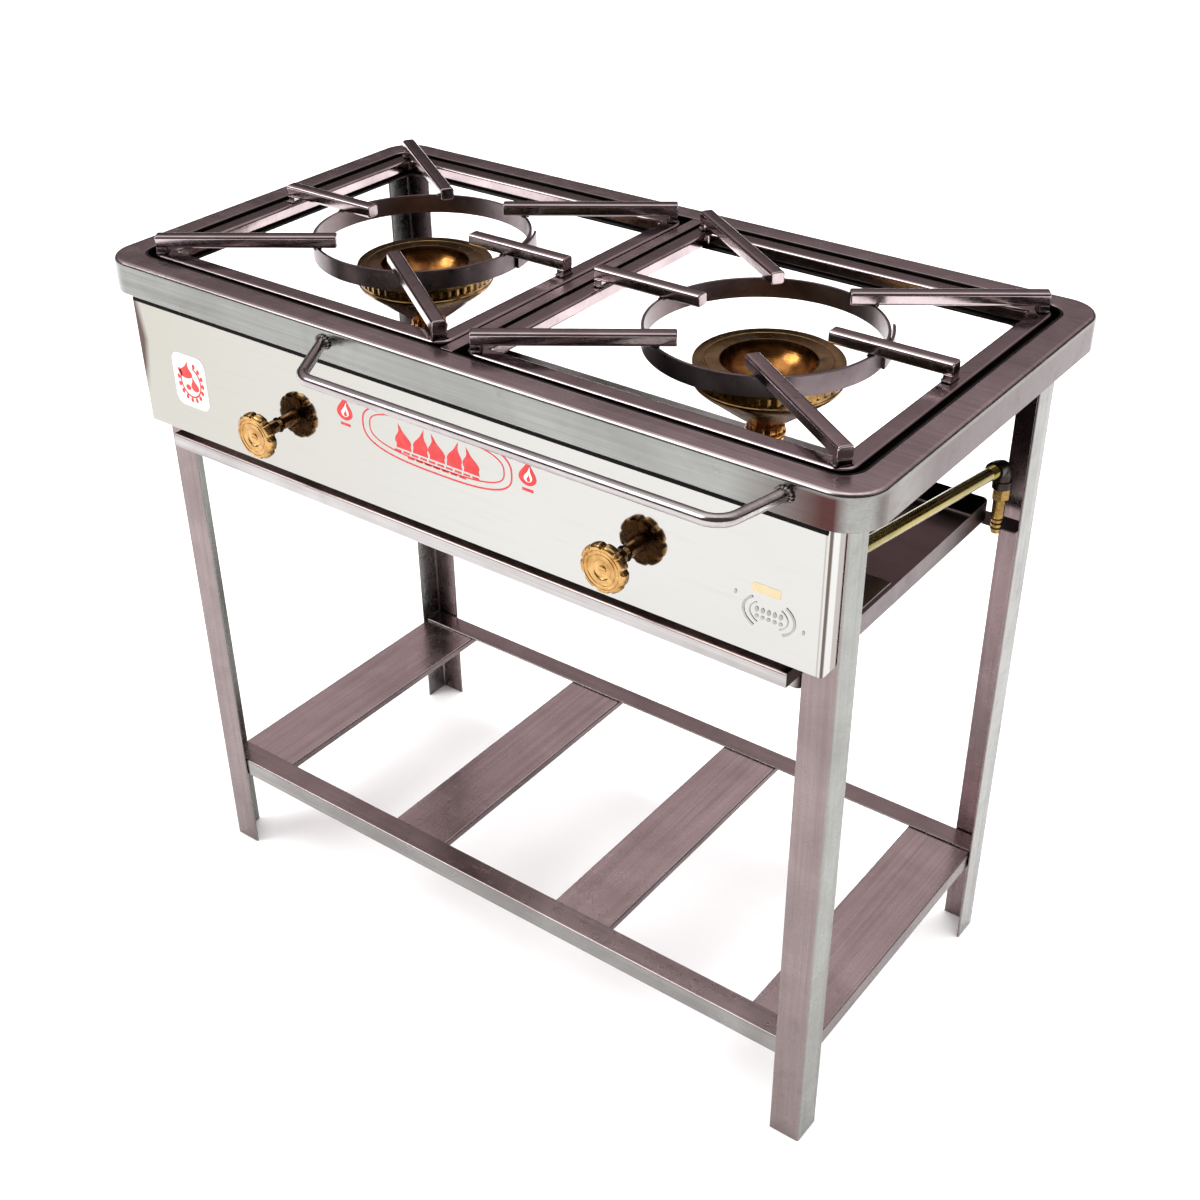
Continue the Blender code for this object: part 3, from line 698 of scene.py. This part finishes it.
def angle_section(width, height, t, u, v, at):
    points = [(0, 0), (width, 0), (width, t), (t, t), (t, height), (0, height)]
    return [(a * u + at[0], b * v + at[1]) for a, b in points]


def cut(bm, tool):
    """The mesh with another taken from it, as a new bmesh."""
    pair = []
    for source in (bm, tool):
        bmesh.ops.recalc_face_normals(source, faces=source.faces)
        pair.append(placed("cut", as_mesh("cut", source)))
    step = pair[0].modifiers.new("cut", "BOOLEAN")
    step.operation, step.solver, step.object = "DIFFERENCE", "EXACT", pair[1]
    graph = bpy.context.evaluated_depsgraph_get()
    made = bmesh.new()
    made.from_mesh(pair[0].evaluated_get(graph).to_mesh())
    for obj in pair:
        bpy.data.meshes.remove(obj.data)
    return made


def piece(name, bm, look, body, slot=None, origin=(0, 0, 0), sharp=38, shift=SHIFT):
    """Makes the object, smooth with weighted normals, and hangs it on a body."""
    bmesh.ops.recalc_face_normals(bm, faces=bm.faces)
    bmesh.ops.translate(bm, verts=bm.verts, vec=-Vector(origin))
    mesh = as_mesh(name, bm)
    mesh.shade_smooth()
    mesh.set_sharp_from_angle(angle=radians(sharp))
    mesh.materials.append(MATERIALS[look])
    obj = placed(name, mesh)
    obj.location = Vector(origin) + Vector((0, shift, 0))
    obj.modifiers.new("normals", "WEIGHTED_NORMAL").keep_sharp = True
    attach(obj, body)
    slot or next(key for key, looks in SLOTS.items() if look in looks.split())
    return obj


def fine(node, bm, look, **rest):
    """The piece drawn in place of a CAD node, on the node's own body."""
    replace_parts(piece(f"{node}_fine", bm, look, frame["nodes"][node]["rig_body"], **rest), node)


def refined(node, look, bevel=0.0005, slot=None):
    """The CAD node's own shape with its edges eased."""
    bm = bmesh.new()
    bm.from_mesh(frame["nodes"][node].data)
    bmesh.ops.remove_doubles(bm, verts=bm.verts, dist=2e-6)
    bmesh.ops.dissolve_limit(bm, angle_limit=radians(1), verts=bm.verts, edges=bm.edges)
    limit = radians(25)
    sharp = [e for e in bm.edges if len(e.link_faces) == 2 and e.calc_face_angle(0) > limit]
    eased(bm, sharp, bevel, True)
    fine(node, bm, look, slot=slot, shift=0)


def bead(bm, start, end, radius, rng, flat=0.7):
    """A weld: overlapping lumps in a row."""
    start, end = Vector(start), Vector(end)
    count = max(2, round((end - start).length / (radius * 0.8)))
    for k in range(count + 1):
        size = radius * rng.uniform(0.8, 1.12)
        stray = Vector([rng.uniform(-0.12, 0.12) * radius for _ in range(3)])
        turn = Matrix.Rotation(rng.uniform(0, tau), 4, "Z")
        place = Matrix.Translation(start.lerp(end, k / count) + stray)
        matrix = place @ turn @ Matrix.Diagonal((size, size, size * flat, 1))
        bmesh.ops.create_icosphere(bm, subdivisions=2, radius=1, matrix=matrix)


# ---- frame
def rim():
    fold, low, edge, corner = 0.004, TOP - RIM_BAND, RIM_FLANGE, FLANGE_CORNER
    section = [(0.0005, low), (0, low + 0.0006)]
    for k in range(13):
        turn = radians(7.5 * k)
        section.append((fold - fold * cos(turn), TOP - fold + fold * sin(turn)))
    section += [
        (edge - 0.001, TOP, corner + 0.001), (edge - 0.0003, TOP - 0.0003, corner),
        (edge, TOP - 0.001, corner), (edge, TOP - RIM_T, corner),
        (fold, TOP - RIM_T), (RIM_T, TOP - fold), (RIM_T, low + 0.0004), (RIM_T - 0.0004, low),
    ]
    fine("top_rim", band(RIM_X, RIM_Y, RIM_RADIUS, section, steps=20), "rim")
    # The ledge is near black: painted shade in the gap between the rim and the grates.
    refined("grate_ledge", "ledge", 0.0004)
    refined("centre_bar", "slat", 0.0006)


def legs():
    for end, sy in ENDS:
        for side, sx in (("left", 1), ("right", -1)):
            outline = angle_section(ANGLE, ANGLE, ANGLE_T, sx, sy, (-sx * LEG_X, -sy * LEG_Y))
            bm = prism(softened(outline, 0.0022), "Z", 0, UNDER_LEDGE)
            fine(f"leg_{end}_{side}", bm, "leg" if end == "front" else "leg_rear")


def panel():
    x, y, t, back, lip = PANEL_X, PANEL_Y, PANEL_T, PANEL_Y + PANEL_RETURN, 0.014
    r = 0.003
    outer, inner = [], []
    for k in range(9):
        turn = radians(11.25 * k)
        c, s = cos(turn), sin(turn)
        outer.append((x - r + r * s, y + r - r * c))
        inner.append((x - r + (r - t) * s, y + r - (r - t) * c))
    flange = [(x, back), (x - lip, back), (x - lip, back - t), (x - t, back - t)]
    half = outer + flange + inner[::-1]
    bm = prism(half + [(-u, v) for u, v in half[::-1]], "Z", PANEL_LOW, UNDER_LEDGE)
    hole = [(0, -0.01), (0.0075, -0.01), (0.0075, 0.01), (0, 0.01)]
    for _, sx in SIDES:
        bm = cut(bm, lathe(hole, (sx * SIDE_X, y, KNOB_Z), "Y", 48))
    low = [
        e for e in bm.edges
        if all(abs(v.co.z - PANEL_LOW) < 1e-5 and v.co.y < PANEL_Y + 0.0191 for v in e.verts)
        and any(abs(f.normal.z) < 0.5 for f in e.link_faces)
    ]
    eased(bm, low, 0.0005)
    fine("front_panel", bm, "mirror", sharp=30)
    # Painted shade: a black strip standing in for the shadow in the gap under the band.
    seam = [(y + 0.0004, 0.6932), (y - 0.0005, 0.6934), (y - 0.0012, 0.6945), (y - 0.0014, 0.696),
            (y - 0.0012, 0.6985), (y + 0.0004, 0.699)]
    piece("panel_gap_shadow", prism(seam, "X", -x + 0.004, x - 0.004), "seam", "frame")


def handrail():
    front, left, right = -RIM_Y - GAP, -0.12, 0.352
    corners = [
        (left, front, RAIL_Z), (-0.084, RAIL_Y, RAIL_Z), (0.338, RAIL_Y, RAIL_Z),
        (right, front, RAIL_Z),
    ]
    bm = pipe(rounded(corners, 0.02, 14), RAIL_RADIUS - 0.00005)
    for vert in bm.verts:
        vert.co.y = min(vert.co.y, front)
    fine("handrail", bm, "rail")
    rng = random.Random(4)
    bm = bmesh.new()
    for x in (left, right):
        for k in range(14):
            turn = tau * k / 14
            at = (x + 0.0066 * cos(turn), front - 0.0008, RAIL_Z + 0.006 * sin(turn))
            bead(bm, at, at, 0.0019, rng)
    piece("handrail_welds", bm, "weld", "frame")


def shelf():
    reach = LEG_X - ANGLE_T - GAP
    for end, sy in ENDS:
        outline = angle_section(0.026, 0.0215, 0.002, sy, -1, (-sy * SHELF_Y, SHELF_TOP))
        fine(f"shelf_rail_{end}", prism(softened(outline, 0.002), "X", -reach, reach), "beam")
    high, t = SHELF_TOP - 0.002 - GAP, 0.0015
    reach = SHELF_Y - 0.002 - GAP
    for number, (left, right) in enumerate(SLATS, 1):
        low_l = high - (0.018 if number == 1 else 0.008)
        low_r = high - (0.018 if number == len(SLATS) else 0.008)
        a, b, under = left + t, right - t, high - t
        outline = [
            (left, high), (left, low_l), (a, low_l), (a, under), (b, under), (b, low_r),
            (right, low_r), (right, high),
        ]
        bm = prism(softened(outline, 0.0018), "Y", -reach, reach)
        fine(f"shelf_slat_{number}", bm, "slat")


def tray():
    t = 0.001
    front, back = -LEG_Y + 0.002, TRAY_BACK
    half_y, middle = (back - front) / 2, (back + front) / 2
    levels = raised([(0.006, 0), (0.003, 0.0007), (0.0008, 0.0028), (0, 0.006)], TRAY_LOW)
    levels += raised([(0, -0.0004), (0.0003, 0), (t - 0.0003, 0), (t, -0.0004)], TRAY_TOP)
    levels += raised([(t, 0.006), (t + 0.0006, 0.0032), (t + 0.0024, 0.0016), (0.006, t)], TRAY_LOW)
    bm = bmesh.new()
    rings = []
    for inset, level in levels:
        loop = round_loop(TRAY_X, half_y, 0.0075, inset, 8)
        rings.append([(u, v + middle, level) for u, v in loop])
    skin(bm, rings)
    outline = [
        (front, GRIP_TOP), (TRAY_FRONT, GRIP_TOP), (TRAY_FRONT, GRIP_LOW),
        (TRAY_FRONT + t, GRIP_LOW), (TRAY_FRONT + t, GRIP_TOP - t), (front - t, GRIP_TOP - t),
        (front - t, GRIP_LOW), (front, GRIP_LOW),
    ]
    prism(softened(outline, 0.0025), "X", -TRAY_X, TRAY_X, bm)
    y, z = (TRAY_FRONT + 0.0005, front - 0.0005), (GRIP_LOW + 0.0004, GRIP_TOP - 0.0005)
    for sx in (-1, 1):
        block(bm, sorted((sx * TRAY_X, sx * (TRAY_X - t))), y, z, 0.0003)
    fine("drip_tray", bm, "tray")
    # These parts are painted dark as shade inside the stove.
    for node in ("tray_rest_front", "tray_rest_rear", "burner_rail"):
        refined(node, "rest")


# ---- burners
def burner(side, sx):
    x = sx * SIDE_X
    centre = (x, BURNER_Y, 0)
    low, edge = BURNER_TOP - 0.0035, BURNER_TOP - 0.0175
    top, slot_low, slot_high = low - GAP, edge + 0.0035, edge + 0.01
    r, n, skirt, wall = BURNER_RADIUS, NECK_RADIUS, BURNER_RADIUS - 0.0008, BURNER_RADIUS - 0.0025
    body = [
        (n, 0.63), (n, 0.633), (n + 0.002, 0.6342), (n + 0.0025, 0.635), (n + 0.0025, 0.6372),
        (n + 0.0018, 0.6382), (n, 0.6392), (n, 0.645), (0.0185, 0.6478), (0.024, 0.652),
        (0.032, 0.6579), (0.04, 0.664), (0.048, 0.6702), (0.056, 0.6765), (0.062, 0.681),
        (r - 0.001, edge - 0.003), (r, edge - 0.0006), (r, edge + 0.0006),
        (skirt, edge + 0.0012), (skirt, slot_low), (skirt, slot_low + 0.0001), (skirt, slot_high),
        (skirt, slot_high + 0.0001), (skirt, top - 0.0004), (r - 0.0011, top), (wall, top),
        (wall, edge), (0.054, 0.68), (0.038, 0.6675), (0.022, 0.6555), (0.0125, 0.648),
        (0.0125, 0.63),
    ]

    def shaped(turn, r, h):
        """Slots round the skirt, and flutes round the neck."""
        part = (turn * 48 / tau) % 1.0
        if slot_low < h < slot_high + 0.00005 and r > BURNER_RADIUS - 0.001:
            return r - (0.0011 if 0.3 < part < 0.7 else 0)
        if 0.639 < h < 0.646 and NECK_RADIUS - 0.0002 < r < 0.0186:
            return r + 0.0011 * max(0.0, cos(turn * 16)) ** 2
        return r

    bm = lathe(body, centre, segments=240, shape=shaped)
    fine(f"burner_{side}", bm, "bronze", origin=centre)

    hole = BURNER_HOLE
    cap = [(r - 0.0004, low), (r, low + 0.0005)] + raised([
        (r, -0.0014), (r - 0.0005, -0.0005), (r - 0.0014, 0), (0.0585, -0.0001),
        (0.058, -0.0005), (0.057, -0.0005), (0.0565, -0.0001), (hole + 0.0014, 0),
        (hole + 0.0004, -0.0004), (hole, -0.0014), (hole - 0.0012, -0.005),
        (hole - 0.003, -0.01), (0.035, -0.0165), (0.026, -0.022), (0.018, -0.025),
        (0.01, -0.026), (0.0065, -0.0258), (0.006, -0.0235), (0.005, -0.0228), (0, -0.0226),
        (0, -0.0285), (0.011, -0.0285), (0.028, -0.0245), (hole - 0.0005, -0.011),
    ], BURNER_TOP) + [(hole + 0.002, low)]
    bm = lathe(cap, centre, segments=128)
    fine(f"burner_cap_{side}", bm, "cap", origin=(x, BURNER_Y, BURNER_TOP))


def gas_train(side, sx):
    """Mixing tube, shutter, valve, injector, stem and knob of one burner."""
    x = sx * SIDE_X
    mouth = Vector((x, MOUTH_Y, KNOB_Z))
    path = rounded([(x, BURNER_Y, 0.63 - GAP), (x, BURNER_Y, KNOB_Z), mouth], 0.0165)
    path = path[:-1] + [mouth + Vector((0, d, 0)) for d in (0.0125, 0.012, 0.001, 0.0004, 0)]
    radii = [0.0118] * (len(path) - 4) + [0.0125, 0.0125, 0.0123, 0.012]
    fine(f"mixing_tube_{side}", pipe(path, radii, 0.01, 40), "cast")

    refined(f"air_shutter_{side}", "brass", 0.0003, "satin_steel")
    refined(f"injector_{side}", "brass", 0.0002)

    axis = (x, 0, KNOB_Z)
    body = [
        (0.0045, -0.204), (0.0074, -0.204), (0.008, -0.2034), (0.008, -0.1965),
        (0.009, -0.1955), (0.011, -0.195), (0.011, -0.184), (0.0098, -0.1835),
        (0.0098, -0.1795), (0.011, -0.179), (0.011, -0.1505), (0.009, -0.1494),
        (0.007, -0.149), (0.007, -0.1446), (0.0064, -0.144), (0, -0.144), (0, -0.176),
        (0.0045, -0.176),
    ]

    def hexed(turn, r, h):
        return hexagon(turn, r) if -0.196 < h < -0.184 and r > 0.0085 else r

    bm = lathe(body, axis, "Y", 72, hexed)
    heights = (KNOB_Z + 0.004, KNOB_Z + 0.004 + 0.0065, MANIFOLD_Z - PIPE_RADIUS - GAP)
    pipe([(x, MANIFOLD_Y, height) for height in heights], 0.006, bm=bm)
    fine(f"valve_{side}", bm, "brass", origin=axis)

    back = -0.176 - GAP
    stem = [(0, back), (0.0042, back), (0.0042, -0.2325), (0.0037, -0.233), (0, -0.233)]
    fine(f"valve_stem_{side}", lathe(stem, axis, "Y", 40), "brass", origin=axis)

    f, r = KNOB_FACE, KNOB_RADIUS
    knob = raised([
        (0.006, 0.0014), (0.0085, 0.0014), (0.0092, 0.0006), (0.0105, 0.0002), (0.0135, 0.0002),
        (0.0138, 0.0007), (0.0146, 0.0007), (0.0149, 0.0002), (0.0172, 0.0001), (0.0175, 0.0005),
        (0.0181, 0.0005), (0.0184, 0), (r - 0.0035, 0), (r - 0.0021, 0.0003), (r - 0.001, 0.0011),
        (r - 0.0003, 0.0022), (r, 0.0034), (r, 0.0066), (r - 0.0003, 0.0078), (r - 0.0012, 0.009),
        (r - 0.0035, 0.01), (0.015, 0.01), (0.01, 0.0104), (0.0084, 0.0112),
        (0.0076, 0.0145), (0.0068, 0.018), (0.0064, 0.024), (0.0062, 0.0284), (0.0058, 0.029),
        (0.0045, 0.029), (0.0045, 0.0115), (0, 0.0115), (0, 0.0016), (0.004, 0.0014),
    ], f)

    def fluted(turn, radius, h):
        if radius < KNOB_RADIUS - 0.0036:
            return radius
        notch = max(0.0, cos(turn * 9)) ** 3
        return radius - 0.0026 * notch * min(1.0, (radius - KNOB_RADIUS + 0.0036) / 0.0015)

    node = f"knob_{side}"
    fine(node, lathe(knob, axis, "Y", 216, fluted), "knob", origin=axis)
    head = [(0, 0.0016), (0.0037, 0.0016), (0.0037, 0.0009), (0.0031, 0.0004), (0, 0.0002)]
    slot = bmesh.new()
    depth, height = (f - 0.002, f + 0.0009), (KNOB_Z - 0.0005, KNOB_Z + 0.0005)
    block(slot, (x - 0.0045, x + 0.0045), depth, height, 0.0001)
    screw = cut(lathe(raised(head, f), axis, "Y", 48), slot)
    piece(f"{node}_screw", screw, "knob", node, origin=axis)


# ---- gas line
def collar(path, radius, extra, share):
    """One radius for each point of a path, wider within a share of its length at both ends."""
    lengths = [0.0]
    for a, b in zip(path, path[1:]):
        lengths.append(lengths[-1] + (b - a).length)
    along = [d / lengths[-1] for d in lengths]
    return [radius + (extra if a <= share or 1 - share <= a <= 1 else 0) for a in along]


def divided(path, step=0.0007):
    made = [Vector(path[0])]
    for point in path[1:]:
        start = made[-1]
        count = max(1, round((point - start).length / step))
        made += [start.lerp(point, (k + 1) / count) for k in range(count)]
    return made


def gas_line():
    joint, reach, bend = PIPE_FRONT[0] - 0.017, 0.022, 0.0105
    start = Vector((joint, MANIFOLD_Y, MANIFOLD_Z))
    bm = pipe([(-0.245, MANIFOLD_Y, MANIFOLD_Z), start], PIPE_RADIUS, 0.0062, 36)
    fine("manifold", bm, "plated")
    refined("manifold_cap", "brass", 0.0004)
    front, rear = Vector(PIPE_FRONT), Vector(PIPE_REAR)
    along = (rear - front).normalized()
    start = Vector((joint + GAP, MANIFOLD_Y, MANIFOLD_Z))
    path = divided(rounded([start, front, front + along * reach], bend))
    radii = collar(path, FITTING - 0.0009, 0.0012, 0.16)
    fine("elbow_front", pipe(path, radii, PIPE_BORE, 36), "plated")
    ends = [front + along * (reach + GAP), rear - along * (reach + GAP)]
    path = [ends[0]] + [ends[1] - along * (0.012 * (1 - k / 24)) for k in range(25)]
    radii = [SIDE_PIPE] + [SIDE_PIPE - (0.0004 if k % 2 else 0) for k in range(25)]
    fine("side_pipe", pipe(path, radii, PIPE_BORE, 36), "plated")
    low = rear - Vector((0, 0, reach))
    path = divided(rounded([rear - along * reach, rear, low], bend))
    radii = collar(path, FITTING - 0.0014, 0.0014, 0.18)
    fine("elbow_rear", pipe(path, radii, PIPE_BORE, 36), "black")
    barb = raised([
        (0.003, 0), (0.0044, 0), (0.0058, 0.005), (0.0046, 0.0052), (0.006, 0.01),
        (0.0048, 0.0102), (0.0062, 0.015), (0.005, 0.0152), (0.006, 0.017), (0.006, 0.035),
        (0.008, 0.036), (0.0086, 0.037),
    ], BARB_LOW)
    high = low.z - GAP
    barb += [(0.0086, high - 0.0006), (0.008, high), (0.003, high)]

    def nut(turn, r, h):
        return hexagon(turn, r) if h > BARB_LOW + 0.0355 and r > 0.007 else r

    fine("hose_inlet", lathe(barb, (low.x, low.y, 0), "Z", 72, nut), "copper")


# ---- grates
def grate(side, sx):
    cx = sx * GRATE_X
    origin = (cx, 0, TOP)
    low, bar, curve = TOP - GRATE_DEEP, GRATE_BAR, 0.016
    section = softened([(0, low), (0, TOP), (bar, TOP), (bar, low)], 0.0025, 6)
    section = [(u, v, max(curve - u, 0.005)) for u, v in section]
    bm = band(GRATE_HALF_X, GRATE_Y, curve, section, cx, 8)
    fine(f"grate_frame_{side}", bm, "grate", origin=origin)
    under = ARM_TOP - ARM_DEEP
    r = RING_RADIUS
    section = [(r - RING_T, RING_LOW), (r, RING_LOW), (r, under - GAP), (r - RING_T, under - GAP)]
    bm = lathe(softened(section, 0.0008, 2), (cx, 0, 0), segments=144)
    tab = []
    high = under - 0.001
    section = softened([(0, RING_LOW), (0.0028, RING_LOW), (0.0028, high), (0, high)], 0.0007, 2)
    for k in range(25):
        turn = radians(7 + 29 * k / 24)
        lift = r + 0.0002 + 0.0016 * (k / 24) ** 2
        c, s = cos(turn), sin(turn)
        tab.append([(cx + (lift + u) * c, (lift + u) * s, v) for u, v in section])
    skin(bm, tab)
    fine(f"grate_ring_{side}", bm, "ring", origin=origin)
    far, near_x, near_y, middle = 0.181, 0.037, 0.081, 0.065
    arms = [((far, 0), (middle, 0)), ((-far, 0), (-middle, 0))]
    for a, b in ((1, 1), (-1, 1), (-1, -1), (1, -1)):
        arms.append(((a * far, b * far), (a * near_x, b * near_y)))
    welds, rng = bmesh.new(), random.Random(11 if sx < 0 else 12)
    for key, (outer, inner) in enumerate(arms, 1):
        arm(f"grate_arm_{side}_{key}", cx, outer, inner, welds, rng)
    piece(f"grate_welds_{side}", welds, "weld", f"grate_{side}", "grate_steel", origin)


def arm(node, cx, outer, inner, welds, rng):
    run = Vector(inner) - Vector(outer)
    length, turn = run.length, atan2(run.y, run.x)
    under, foot, half = ARM_TOP - ARM_DEEP, 0.009, ARM_WIDTH / 2
    ends = ((0, 0.0014), (0.0004, 0.0006), (0.0014, 0), (length - 0.0014, 0),
            (length - 0.0004, 0.0006), (length, 0.0014))
    rings = []
    for at, inset in ends:
        side, low, high = half - inset, under + inset, ARM_TOP - inset
        outline = [(-side, low), (side, low), (side, high), (-side, high)]
        rings.append([(at, u, v) for u, v in softened(outline, 0.0032 - inset, 5)])
    bm = bmesh.new()
    skin(bm, rings)
    width = (-half + 0.0006, half - 0.0006)
    block(bm, (0.0004, foot), width, (TOP + GAP, under + 0.0012), 0.0008)
    place = Matrix.Translation((cx + outer[0], outer[1], 0)) @ Matrix.Rotation(turn, 4, "Z")
    bmesh.ops.transform(bm, matrix=place, verts=bm.verts)
    fine(node, bm, "grate", origin=(cx + outer[0], outer[1], TOP))

    def weld(a, b, radius):
        bead(welds, place @ Vector(a), place @ Vector(b), radius, rng)

    for sy in (-1, 1):
        y = sy * (half + 0.0002)
        weld((0.0015, y, TOP + 0.0012), (foot - 0.0005, y, TOP + 0.0012), 0.0015)
    x, z = foot + 0.0006, TOP + 0.0011
    weld((x, -half * 0.7, z), (x, half * 0.7, z), 0.0013)
    middle = Vector((cx, 0, 0))
    flat = [place @ Vector((length * k / 60, 0, 0)) for k in range(61)]
    cross = min(flat, key=lambda p: abs((p - middle).length - RING_RADIUS + RING_T / 2))
    way = (cross - middle).normalized()
    tangent, lift = Vector((-way.y, way.x, 0)) * 0.0055, Vector((0, 0, under - 0.001))
    for off in (-0.0024, 0.0024):
        at = cross + way * off
        bead(welds, at - tangent + lift, at + tangent + lift, 0.0013, rng)


# ---- marks on the panel
def plate(bm, outline, depth=0.00015, at=PANEL_Y):
    """A thin raised shape on the panel's face, outline in x, z."""
    skin(bm, [[(u, level, v) for u, v in outline] for level in (at - 0.00002, at - depth)])


def strip(bm, path, width, closed=True, depth=0.00015, at=PANEL_Y):
    """A line of even width along a path in x, z."""
    points = [Vector(p) for p in path]
    count = len(points)
    near, far = at - 0.00002, at - depth
    rings = []
    for i, p in enumerate(points):
        a = points[i - 1] if closed or i else p
        b = points[(i + 1) % count] if closed or i < count - 1 else p
        along = (b - a).normalized()
        n = Vector((-along.y, along.x)) * (width / 2)
        l, r = p + n, p - n
        rings.append([(l.x, near, l.y), (r.x, near, r.y), (r.x, far, r.y), (l.x, far, l.y)])
    skin(bm, rings, closed=closed)


def ellipse(cx, cz, a, b, start=0, end=360, count=64, power=1.0):
    points = []
    for k in range(count if end - start >= 360 else count + 1):
        t = radians(start + (end - start) * k / count)
        c, s = cos(t), sin(t)
        x, z = copysign(abs(c) ** power, c), copysign(abs(s) ** power, s)
        points.append((cx + a * x, cz + b * z))
    return points


def flame(cx, low, width, height, lean=0.0):
    """A drop-shaped tongue of fire."""
    points = []
    for k in range(28):
        t = tau * k / 28
        up = (1 - cos(t)) / 2
        belly = 0.35 + 0.65 * sin(pi * min(1, up + 0.32))
        side = sin(t) * (1 - up) ** 0.55 * belly
        points.append((cx + width * 0.62 * side + lean * up * up * width, low + height * up))
    return points


def bar(left, right, low, high):
    return [(left, low), (right, low), (right, high), (left, high)]


def marks():
    shapes = {
        "panel_print": "red", "panel_print_pale": "white", "panel_label": "white",
        "panel_label_print": "red", "panel_emboss": "emboss", "panel_seal": "cream",
    }
    red, pale, paper, ink, emboss, seal = meshes = [bmesh.new() for _ in shapes]
    for x in (-0.11, 0.101):
        plate(red, flame(x, 0.644, 0.0215, 0.029, 0.1))
        plate(pale, flame(x + 0.0005, 0.6475, 0.01, 0.015, 0.25), 0.00022)
        plate(red, flame(x + 0.001, 0.648, 0.0045, 0.008, 0.3), 0.0003)
        plate(red, bar(x - 0.006, x + 0.006, 0.6385, 0.6412))
    for half, high, width in ((0.0858, 0.0255, 0.0016), (0.0775, 0.019, 0.0013)):
        strip(red, ellipse(-0.0019, 0.6485, half, high, count=140, power=0.72), width)
    sizes = ((0.021, 0.023), (0.019, 0.025), (0.022, 0.024), (0.019, 0.025), (0.021, 0.023))
    for k, (wide, high) in enumerate(sizes):
        x = -0.0395 + 0.0196 * k
        plate(red, flame(x, 0.637, wide, high, 0.3 if k % 2 else -0.25))
        base = [(x + u, z) for u, z in
                ((-0.0088, 0.6358), (0.0088, 0.6358), (0.008, 0.6405), (-0.008, 0.6405))]
        plate(red, base, 0.00022)
    for row, z in enumerate((0.6318, 0.6278)):
        for k in range(10 - 3 * row):
            x = -0.0505 + 0.01 * (k + 1.5 * row)
            plate(red, bar(x, x + 0.0076, z, z + 0.0019))
    for k in range(6):
        x = -0.035 + 0.011 * k
        plate(red, bar(x, x + 0.008, 0.665, 0.6662))

    paper_t, ink_t = 0.00022, 0.00008
    top = PANEL_Y - paper_t
    loop = round_loop(0.023, 0.0277, 0.01, 0, 8)
    plate(paper, [(u - 0.32, v + 0.6248) for u, v in loop], paper_t)
    strip(ink, ellipse(-0.3195, 0.6245, 0.0138, 0.016, 150, 430, 60), 0.002, False, ink_t, top)
    for k in range(13):
        turn = radians(150 + 23 * k)
        x, z = -0.3195 + 0.0168 * cos(turn), 0.6245 + 0.0196 * sin(turn)
        plate(ink, ellipse(x, z, 0.0021, 0.0026, count=14), ink_t, top)
    plate(ink, flame(-0.326, 0.627, 0.021, 0.019, 0.25), ink_t, top)
    plate(ink, flame(-0.314, 0.615, 0.0125, 0.0175, -0.3), ink_t, top)
    plate(ink, ellipse(-0.324, 0.618, 0.0036, 0.003, count=20), ink_t, top)

    arcs = ((0.0235, 0.0165, 0.0022, 0.00045), (0.0175, 0.0115, 0.0012, 0.00035))
    for start, end in ((130, 235), (-55, 50)):
        for a, b, width, depth in arcs:
            strip(emboss, ellipse(0.34, 0.605, a, b, start, end, 40), width, False, depth)
    for k in range(5):
        x = 0.329 + 0.0055 * k
        plate(emboss, ellipse(x, 0.6075, 0.0018, 0.0026, count=18), 0.0004)
        plate(emboss, ellipse(x, 0.601, 0.0018, 0.0018, count=18), 0.00035)
    for x, z in ((0.309, 0.6165), (0.3715, 0.601)):
        plate(emboss, ellipse(x, z, 0.0013, 0.0022, count=16), 0.0004)
    loop = round_loop(0.013, 0.0042, 0.002, 0, 6)
    plate(seal, [(u + 0.337, v + 0.627) for u, v in loop], 0.0002)
    for (name, look), bm in zip(shapes.items(), meshes):
        piece(name, bm, look, "frame", sharp=30)


# ---- welds on the frame
def frame_welds():
    rng = random.Random(7)
    bm = bmesh.new()
    z = SHELF_TOP - 0.0023
    for left, right in SLATS:
        for sy in (-1, 1):
            y = sy * (SHELF_Y - 0.0262)
            for x in (left + 0.0045, right - 0.0045):
                bead(bm, (x - 0.002, y, z), (x + 0.002, y, z), 0.0009, rng, 0.5)
    z, low = SHELF_TOP + 0.0002, TOP - RIM_BAND
    for sx in (-1, 1):
        for sy in (-1, 1):
            x, y = sx * (LEG_X - ANGLE_T - 0.001), sy * (SHELF_Y - 0.003)
            bead(bm, (x, y, z), (x, y - sy * 0.018, z), 0.0013, rng)
            x, y = sx * (LEG_X - 0.0292), sy * (LEG_Y - ANGLE_T - 0.0006)
            bead(bm, (x, y, low + 0.006), (x, y, low + 0.014), 0.0013, rng)
    piece("frame_welds", bm, "weld", "frame")


stage()
rim()
legs()
panel()
handrail()
shelf()
tray()
for side, sx in SIDES:
    burner(side, sx)
    gas_train(side, sx)
    grate(side, sx)
gas_line()
marks()
frame_welds()
